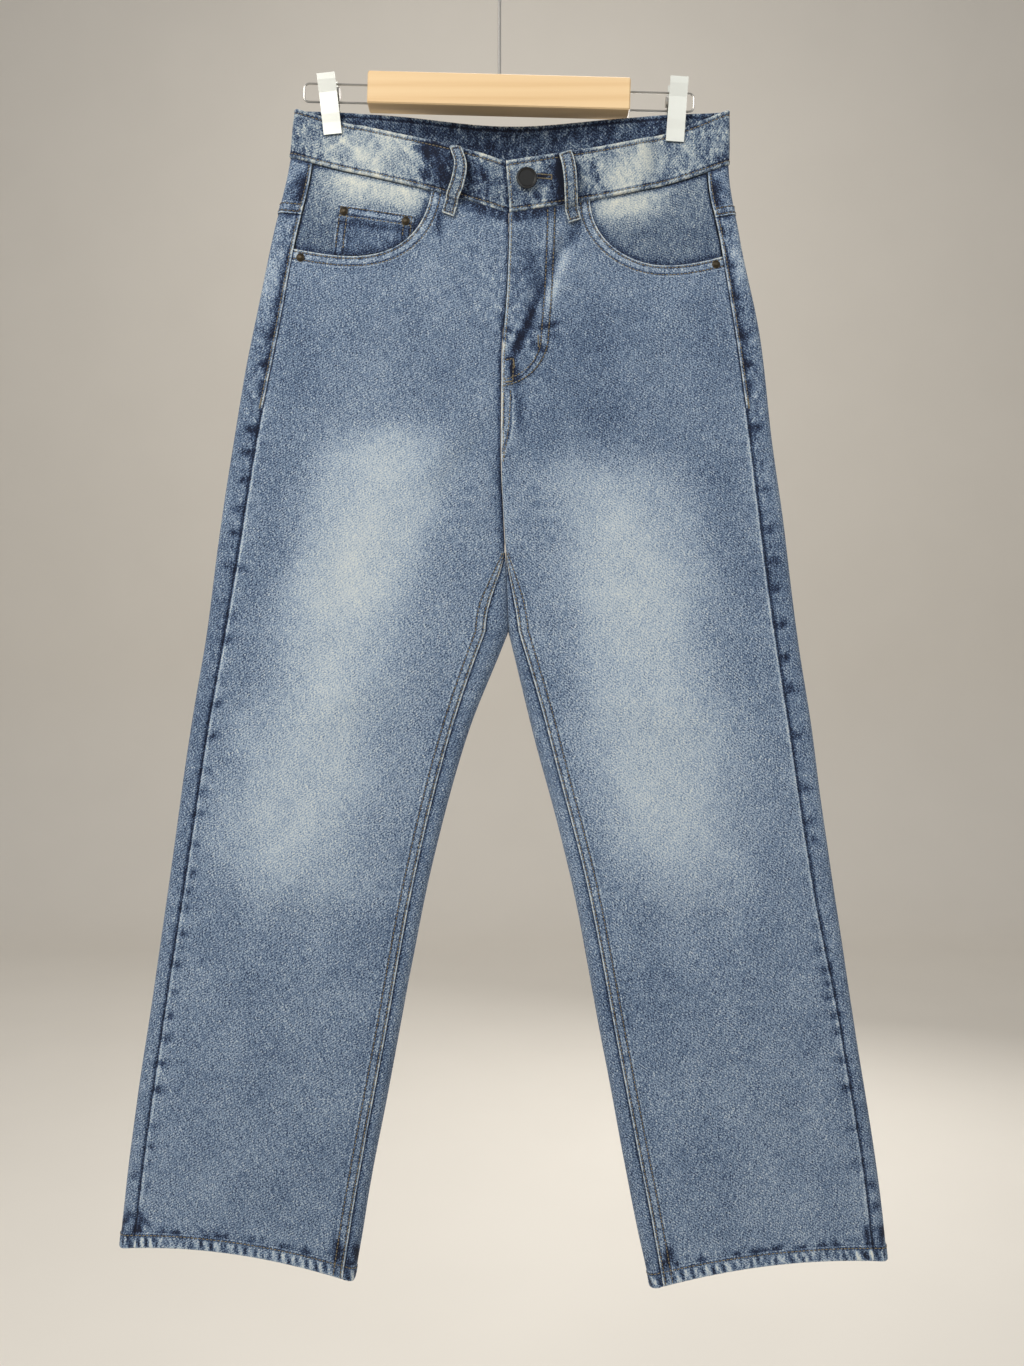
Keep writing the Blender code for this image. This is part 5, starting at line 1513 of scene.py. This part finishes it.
def waistband():
    """One long strip: round the waist from the tab's end, and on under the tab."""
    levels = steps_to(WAIST_TOP, 0.65, -40, 2.0, -4, 0.65, -SEAM_SIDE)
    rings = []
    for down in levels:
        sides, across, tuck = (np.array(column) for column in zip(*band_stations(down)))
        count = len(across)
        places, outs, high = np.zeros((count, 3)), np.zeros((count, 3)), np.zeros(count)
        values = np.zeros((count, len(LOOKS) + 1))
        for side, half in HALVES.items():
            mask = sides == side
            a = across[mask]
            places[mask], outs[mask] = half.at(a, down), half.outward(a, down)
            high[mask] = band_height(half, a, down)
            values[mask, :-1] = band_looks(half, a, down)
        run = run_along(places)
        high = np.where(tuck < 0, BAND_OUT + tuck, high)
        thick = BAND_OUT - BAND_IN + rolled(band_edge(down), *BAND_ROLL)
        values[:, -1] = thick + (high - BAND_OUT) * (tuck == 0)
        cut = np.stack([run, np.full(count, down)], -1)
        rings.append((places + outs * high[:, None], outs, cut, values))
    points, normals, cut, values = (np.concatenate(column) for column in zip(*rings))
    faces = quads(len(levels), count)[:, ::-1]
    piece = shell("cloth_waistband", [Part(points, normals, faces, cut, values)], BAND,
                  lambda _, values: values[:, -1], band_inside)
    return sheet(piece, "waistband")


# ---- belt loops ------------------------------------------------------------------------------
LOOP_WIDTH, LOOP_WALL, LOOP_ARCH, LOOP_FOLD, LOOP_SEWN = 11.0, 1.8, 6.2, 9.0, 3.0
LOOP_LEVELS = (-43.4, -29.0, -13.0, 3.0, 18.5)
LOOPS = (
    ("belt_loop_front_right", "right", (131.0, 136.0, 133.0, 127.0, 125.0)),
    ("belt_loop_front_left", "left", (131.0, 128.5, 126.0, 123.5, 121.0)),
    ("belt_loop_side_right", "right", (-33.0, -33.5, -34.0, -35.0, -36.0)),
    ("belt_loop_side_left", "left", (-35.0, -35.0, -36.0, -37.0, -38.0)),
    ("belt_loop_back", "centre", (0.0, 0.6, 0.4, 0.0, -0.4)),
)


def smooth_between(x, y, at):
    """A smooth curve through a few values."""
    return curve_through(x, y, np.gradient(y, x), at)


def loop_at(side, across, down):
    """A place and its outward direction; the centre loop counts across from the back seam."""
    if side != "centre":
        half = HALVES[side]
        return half.at(across, down), half.outward(across, down)
    points, outs = np.zeros((len(across), 3)), np.zeros((len(across), 3))
    for half, mask in ((HALVES["right"], across < 0), (HALVES["left"], across >= 0)):
        if mask.any():
            at = half.edge("back_end", down[mask]) + np.abs(across[mask])
            points[mask], outs[mask] = half.at(at, down[mask]), half.outward(at, down[mask])
    return points, outs


def loop_frame(loop, mark):
    """At one mark along a loop: its middle, sideways step and height over the cloth."""
    _, side, across = loop
    line = np.array(list(zip(across, LOOP_LEVELS)), float)
    run = run_along(line)
    length = run[-1]
    middle, after, before = (
        np.array([smooth_between(run, line[:, i], at) for i in range(2)])
        for at in (mark, min(mark + 1, length), max(mark - 1, 0))
    )
    along = (after - before) / np.linalg.norm(after - before)
    sideways = np.array([along[1], -along[0]]) * (-1 if side == "left" else 1)
    share = unit((mark - LOOP_SEWN) / (length - LOOP_FOLD - 5 - LOOP_SEWN))
    arch = LOOP_ARCH * math.sin(math.pi * share) ** 0.6 if 0 < share < 1 else 0.0
    base = BAND_OUT * unit(1 - (middle[1] - 2.5) / LOOP_SEWN)
    if side == "centre":
        base = max(base, FELL_RISE)
    return middle, sideways, base + LAYER_GAP + arch, length


def loop_fold(mark, length):
    """The turned-in end adds to the strap's thickness."""
    return LOOP_WALL * 0.66 * unit((mark - (length - LOOP_FOLD)) / 0.8)


# Across the strap: where its lines run, in half widths, how high its face is there, and below.
STRAP = np.array([-1, -0.93, -0.8, -0.62, -0.45, -0.2, 0, 0.2, 0.45, 0.62, 0.8, 0.93, 1])
STRAP_CROWN = [-0.55, -0.12, 0.0, -0.14, 0.02, 0.12, 0.14, 0.12, 0.02, -0.14, 0.0, -0.12, -0.55]
STRAP_UNDER = np.array([0.92, 0.5, 0, -0.5, -0.92])


def belt_loop(loop):
    """A folded strap with rounded edges and two sewn channels."""
    name, side, _ = loop
    length = loop_frame(loop, 0)[3]
    half_width = LOOP_WIDTH / 2
    lines_across = np.append(STRAP, STRAP_UNDER)
    rings = []
    for at in steps_to(0, 0.7, 4, 1.5, length - LOOP_FOLD - 2, 0.7, length):
        middle, sideways, low, _ = loop_frame(loop, at)
        to_end = min(at, length - at)
        tip = rolled(to_end, 0.5, 1.2)
        wave = 0.12 * smooth_noise(np.array([at / 5.0]), np.array([-1.0]), 141)
        outer = low + LOOP_WALL + loop_fold(at, length) + STRAP_CROWN + tip + wave
        heights = np.append(outer, np.full(len(STRAP_UNDER), low - tip * 0.5))
        across, down = (middle + sideways * half_width * lines_across[:, None]).T
        points, outs = loop_at(side, across, down)
        cut = np.append(STRAP, np.clip(STRAP_UNDER, -0.9, 0.9)) * half_width
        wear_and_shade = 0.10 * smooth_noise(np.full(len(STRAP), at / 3.2), STRAP * 1.5 + 9, 142)
        # painted shade just past the step of the turned-in end
        wear_and_shade -= 0.05 + 0.5 * (LOOP_FOLD < length - at < LOOP_FOLD + 3)
        edge = hemmed(np.minimum((1 - np.abs(STRAP)) * half_width, to_end))
        below = np.zeros(len(STRAP_UNDER))
        # painted shade over the strap's underside
        values = looks(np.append(wear_and_shade, below - 0.6), np.append(edge, below), at, 0.35)
        rings.append((points + outs * heights[:, None],
                      np.stack([cut, np.full(len(cut), at)], -1), values))
    size = len(lines_across)
    ends = list(range(size)), list(range((len(rings) - 1) * size, len(rings) * size))
    faces = [[a, a + size, b + size, b] for i in range(0, ends[1][0], size)
             for a, b in ((i + j, i + (j + 1) % size) for j in range(size))]
    faces += [ends[0], ends[1][::-1]]
    points, cut, values = (np.concatenate(column) for column in zip(*rings))
    piece = face_outward(make_mesh(f"cloth_{name}", points, faces, BAND, cut, values))
    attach(piece, "root")
    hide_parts(name)
    return piece


# ---- sewing ----------------------------------------------------------------------------------
STITCH, STITCH_GAP, THREAD = 2.5, 0.75, 0.36
STITCH_ROWS = 2.0, 8.1
# Along a stitch: share of its length, height over the cloth and share of the thread's radius.
STITCH_RINGS = ((0, -0.25, 0.55), (0.2, 0.14, 1), (0.8, 0.14, 1), (1, -0.25, 0.55))
STITCH_ANGLES = (0.0, 1.05, 2.09, 3.14, 4.71)
STITCH_FACES = [
    [i * 5 + j, i * 5 + k, i * 5 + k + 5, i * 5 + j + 5]
    for i in range(3) for j, k in zip(range(5), (1, 2, 3, 4, 0))
] + [[4, 3, 2, 1, 0], [15, 16, 17, 18, 19]]


def seated(half, places, height, step):
    """Places on one half's layer at an even distance, and the directions that stand out of it."""
    across, down = evenly(places, step=step).T
    outs = half.outward(across, down)
    return half.at(across, down) + outs * height(half, across, down)[:, None], outs


class Sewing:
    """Single stitches, each a short sunk bar of thread, gathered into one piece."""

    def __init__(self, name, material):
        self.name, self.material = name, material
        self.points, self.faces = [], []

    def stitch(self, start, end, out, radius=THREAD):
        along = end - start
        side = np.cross(along / np.linalg.norm(along), out)
        side /= np.linalg.norm(side)
        base = len(self.points)
        self.faces += [[base + v for v in loop] for loop in STITCH_FACES]
        for share, lift, size in STITCH_RINGS:
            centre = start + along * share + out * lift
            for angle in STITCH_ANGLES:
                spoke = side * math.cos(angle) + out * math.sin(angle)
                self.points.append(centre + spoke * radius * size)

    def line(self, points, outs, pitch=STITCH + STITCH_GAP, radius=THREAD):
        """Stitches along a route of places, with the direction that stands out of the cloth."""
        points, outs = np.asarray(points, float), np.asarray(outs, float)
        run = run_along(points)
        number = max(1, int(round(run[-1] / pitch)))
        length = run[-1] / number

        def at(where, table):
            return np.array([np.interp(where, run, table[:, k]) for k in range(3)])

        for i in range(number):
            a, b = i * length + STITCH_GAP / 2, (i + 1) * length - STITCH_GAP / 2
            out = at((a + b) / 2, outs)
            self.stitch(at(a, points), at(b, points), out / np.linalg.norm(out), radius)

    def on(self, half, places, height):
        self.line(*seated(half, places, height, 1.2))

    def tack(self, half, places, height, width=1.6):
        """A bar tack: close zigzag stitches along a short line."""
        points, outs = seated(half, places, height, 0.55)
        for i in range(len(points) - 1):
            side = np.cross(points[i + 1] - points[i], outs[i])
            side = side / np.linalg.norm(side) * width / 2
            flip = 1 if i % 2 else -1
            self.stitch(points[i] - side * flip, points[i + 1] + side * flip, outs[i], 0.26)

    def finish(self):
        piece = make_mesh(self.name, self.points, self.faces, self.material)
        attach(piece, "root")
        return piece


def pairs(across, down):
    return np.stack(np.broadcast_arrays(across, down), -1)


def offset_mouth(side, inset):
    """The mouth's edge moved a little into the panel."""
    curve = evenly(mouth_curve(side, inset), count=160)
    return curve[curve[:, 0] > 1.0]


def sew_leg(tan, side, half):
    """Pocket mouth, inseam, the outseam's top, yoke seam and hem of one leg."""
    for inset in STITCH_ROWS:
        tan.on(half, offset_mouth(side, inset), front_height)
    rows = np.linspace(FRONT_CROTCH + 8, HEM_EDGE - 1, 260)
    for inset in STITCH_ROWS:
        tan.on(half, pairs(half.front_edge(rows) - inset * spread(rows), rows), front_height)
    down = np.linspace(2, TOPSTITCH_END, 80)
    strip = pairs(TOPSTITCH, down)
    tan.on(half, strip[down < YOKE_SIDE - 1], yoke_height)
    tan.on(half, strip[down > YOKE_SIDE + 1], back_height)
    tan.tack(half, [(TOPSTITCH, TOPSTITCH_END), (TOPSTITCH, TACK_END)], back_height)
    for up in STITCH_ROWS:
        across = np.linspace(-2, float(half.edge("back_end", 60)) + 1, 120)
        tan.on(half, pairs(across, yoke_seam(across) - up), yoke_height)
    back, inseam, front = (
        float(half.edge(name, HEM_ROW_DOWN)) for name in ("back_end", "inseam", "front_end")
    )
    to_seam = float(half.front_edge(HEM_ROW_DOWN))
    for start, end, height in ((0.5, to_seam - 0.3, front_height), (back, -0.5, back_height),
                               (inseam + 0.5, front, tongue_height)):
        tan.on(half, [(start, HEM_ROW_DOWN), (end, HEM_ROW_DOWN)], height)


def sew_fly(tan, half):
    """The J's two rows, the row beside the fly's edge, the fork's row, and the bar tacks."""
    for inset in (0.6, 6.6):
        tan.on(half, fly_route(half, inset), front_height)
    down = np.linspace(2, 248, 100)
    tan.on(half, pairs(half.front_edge(down) - 1.8, down), front_height)
    fork = np.linspace(FLY_END + 4, 244, 40)
    inset = 7.6 - 5.4 * ((fork - fork[0]) / np.ptp(fork)) ** 2
    tan.on(half, pairs(half.front_edge(fork) - inset, fork), front_height)
    corners = (3, 148), (9.5, 148), (9.5, 170), (3, 170)
    box = [(float(half.front_edge(down)) - inset, down) for inset, down in corners]
    tan.on(half, box, front_height)
    tan.tack(half, [box[3], box[2]], front_height)
    tan.tack(half, [box[1], (box[1][0], box[1][1] + 9)], front_height, width=1.0)
    tan.tack(half, [(167.4, 127), (168.6, 139)], front_height, width=1.0)


def sew_all():
    tan = Sewing("stitches_tan", TAN)
    for side, half in HALVES.items():
        sew_leg(tan, side, half)
    left, right = HALVES["left"], HALVES["right"]
    sew_fly(tan, left)
    for up in STITCH_ROWS:
        seat = np.linspace(4, FORK - 6, 120)
        across = right.edge("back_end", seat) + up
        on_yoke = seat < yoke_seam(across) - 1
        tan.on(right, pairs(across, seat)[on_yoke], yoke_height)
        tan.on(right, pairs(across, seat)[~on_yoke][1:], back_height)
    shares = np.linspace(-0.97, 0.97, 30)
    for half in HALVES.values():
        for inset in STITCH_ROWS:
            tan.on(half, pocket_route(inset), pocket_top)
        for fall in (POCKET.band - 4.0, 2.0):
            tan.on(half, [pocket_place(s, fall) for s in shares], pocket_top)
    for fall in (1.8, 9.6):
        tan.on(right, [coin_place(s, fall) for s in np.linspace(0.02, 0.98, 20)], coin_height)
    for share in (0.03, 0.125, 0.875, 0.97):
        falls = np.linspace(1.5, 38 if share < 0.5 else 20, 20)
        tan.on(right, [coin_place(share, f) for f in falls], coin_height)
    sew_band(tan)
    for loop in LOOPS:
        sew_loop(tan, loop)
    buttonhole(tan)
    return tan.finish()


def pocket_route(inset):
    """Down one side of a back pocket, round its point and up the other."""
    side = 1 - inset / 71
    low = 1 - inset * 1.06 / POCKET.side_depth
    falls = np.linspace(1.5, pocket_bottom(side) * low, 40)
    places = [(-side, f) for f in falls]
    places += [(s, pocket_bottom(s) - inset * 1.05) for s in np.linspace(-side, side, 60)]
    places += [(side, f) for f in falls[::-1]]
    return [pocket_place(share, fall) for share, fall in places]


def pocket_top(half, across, down):
    """The patch's height at a place, worked back to its own share and fall."""
    share = np.clip((across - POCKET.centre) / (POCKET.top_width / 2), -1, 1)
    fall = down - POCKET.top - POCKET.slope * (1 - share) / 2
    share = (across - POCKET.lean * fall - POCKET.centre) / pocket_half_width(fall)
    edge = pocket_inside(np.clip(share, -1, 1), fall)
    return pocket_lift(half.side, across, down, edge, fall)


def fly_route(half, inset):
    """The J of the fly, inset from its edge."""
    places = [(FLY_WIDTH - inset, d) for d in np.linspace(2, FLY_STRAIGHT, 60)]
    for angle in np.linspace(0, math.pi / 2, 30)[1:]:
        down = FLY_STRAIGHT + (FLY_END - inset - FLY_STRAIGHT) * math.sin(angle)
        places.append(((FLY_WIDTH - inset) * math.cos(angle), down))
    return [(float(half.front_edge(d)) - max(away, 0.8), d) for away, d in places]


BAND_STITCHED, TAB_INSET, UNDERLAP_INSET = (-BAND_HEIGHT + 4.2, -3.4), 2.4, 4.0


def sew_band(tan):
    """Rows along both edges of the waistband, and down the end of its tab."""
    left, right = HALVES["left"], HALVES["right"]
    for down in BAND_STITCHED:
        for half, start, end in (
            (left, float(left.edge("front_end", down)) - TAB_INSET, left.edge("back_end", down)),
            (right, right.edge("back_end", down), right.edge("front_end", down) - UNDERLAP_INSET),
        ):
            tan.on(half, pairs(np.linspace(start, end, 240), down), band_height)
    down = np.linspace(*BAND_STITCHED, 30)
    tan.on(left, pairs(left.edge("front_end", down) - TAB_INSET, down), band_height)


def sew_loop(tan, loop):
    """Two rows along the strap, and a close one across it at each end."""
    _, side, _ = loop
    length = loop_frame(loop, 0)[3]
    rows = [(np.linspace(0.8, length - 1, 60), [share] * 60, -0.14, {}) for share in (-0.62, 0.62)]
    rows += [([mark] * 16, np.linspace(-0.8, 0.8, 16), 0.05, {"pitch": 1.4, "radius": 0.3})
             for mark in (1.6, length - 2.6)]
    for marks, shares, lift, how in rows:
        points, outs = [], []
        for mark, share in zip(marks, shares):
            middle, sideways, low, _ = loop_frame(loop, mark)
            spot = (middle + sideways * LOOP_WIDTH / 2 * share)[:, None]
            point, out = loop_at(side, *spot)
            high = low + LOOP_WALL + loop_fold(mark, length) + lift
            points.append(point[0] + out[0] * high)
            outs.append(out[0])
        tan.line(points, outs, **how)


def buttonhole(tan):
    """The keyhole's thick edge, running out from under the button away from the tab's end."""
    half = HALVES["left"]
    for offset in (-1.6, 1.6):
        tan.tack(half, [(154.5, -27.3 + offset), (142.5, -24.6 + offset)], band_height, width=1.1)
    tan.tack(half, [(142.3, -27.0), (142.0, -22.4)], band_height, width=1.4)


# ---- light, backdrop and camera --------------------------------------------------------------
def stage():
    """A pale sweep: a floor far below that curves up into a wall behind."""
    low, top, near, back, bend, wide = -1.75, 6.0, -6.0, 5.2, 1.2, 9.0
    sweep = [(near, low), (back - bend, low)]
    for angle in np.linspace(0, math.pi / 2, 13)[1:]:
        sweep.append((back - bend + bend * math.sin(angle), low + bend - bend * math.cos(angle)))
    sweep.append((back, top))
    points = [(x, y, z) for y, z in sweep for x in (-wide, wide)]
    faces = [[2 * i, 2 * i + 1, 2 * i + 3, 2 * i + 2] for i in range(len(sweep) - 1)]
    mesh = bpy.data.meshes.new("backdrop")
    mesh.from_pydata(points, [], faces)
    mesh.shade_smooth()
    n = Nodes("backdrop_paper")
    shades = (0.3, linear(226, 219, 207)), (0.7, linear(228, 221, 209))
    n.finish(Base_Color=n.ramp(n.noise(n.local(), 3.0), *shades), Roughness=0.95)
    mesh.materials.append(n.material)
    place(bpy.data.objects.new("backdrop", mesh))


def lamp(name, at, to, size, power, colour=(1, 1, 1)):
    data = bpy.data.lights.new(name, "AREA")
    data.shape, data.size, data.energy, data.color = "DISK", size, power, colour
    made = bpy.data.objects.new(name, data)
    made.location = at
    made.rotation_euler = (Vector(to) - Vector(at)).to_track_quat("-Z", "Y").to_euler()
    place(made)


def light_and_camera():
    lamp("key", (-1.6, -1.9, 0.9), (0, 0, -0.5), 1.6, 62, (1.0, 0.99, 0.975))
    lamp("fill", (1.2, -1.7, 0.5), (0, 0, -0.7), 1.5, 15, (0.97, 0.985, 1.0))
    lamp("rim", (0.3, 0.5, 1.0), (0, 0, -0.5), 1.0, 5)
    lamp("behind", (0.9, 2.4, 0.2), (0, 0, -0.6), 1.6, 34)
    lamp("wall", (0.0, 2.2, 2.4), (0, 5.2, 0.0), 2.0, 34, (1.0, 0.98, 0.95))
    world = bpy.data.worlds.new("soft_room")
    world.use_nodes = True
    sky = world.node_tree.nodes["Background"]
    sky.inputs["Color"].default_value = (0.80, 0.81, 0.84, 1)
    sky.inputs["Strength"].default_value = 0.45
    bpy.context.scene.world = world
    bpy.context.scene.view_settings.view_transform = "Standard"
    data = bpy.data.cameras.new("camera")
    data.lens, data.sensor_width = 31.19, 36.0
    data.clip_start = 0.05
    camera = bpy.data.objects.new("camera", data)
    camera.location = (0.0107, -1.012, -0.6321)
    camera.rotation_euler = (math.pi / 2, 0, 0)
    bpy.context.scene.camera = place(camera)


def finish_hard_parts():
    """Materials for the nodes that keep their solids."""
    own = {"hanger_bar": PINE, "hanger_hook": WIRE, "hanger_wire_right": WIRE,
           "hanger_wire_left": WIRE, "button": BLACK}
    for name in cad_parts:
        material = own.get(name)
        if name.startswith("clip_"):
            material = WIRE if name.endswith("spring") else STEEL
        if name.startswith("rivet"):
            material = BRASS
        if material is not None:
            made = bpy.data.objects[name]
            if not made.data.materials:
                made.data.materials.append(material)
            for i in range(len(made.material_slots)):
                made.material_slots[i].material = material


def main():
    stage()
    for side in HALVES:
        front_panel(side)
        back_panel(side)
        yoke(side)
        facing(side)
        back_pocket(side)
    coin_pocket()
    fly_shield()
    waistband()
    for loop in LOOPS:
        belt_loop(loop)
    sew_all()
    finish_hard_parts()
    light_and_camera()


main()
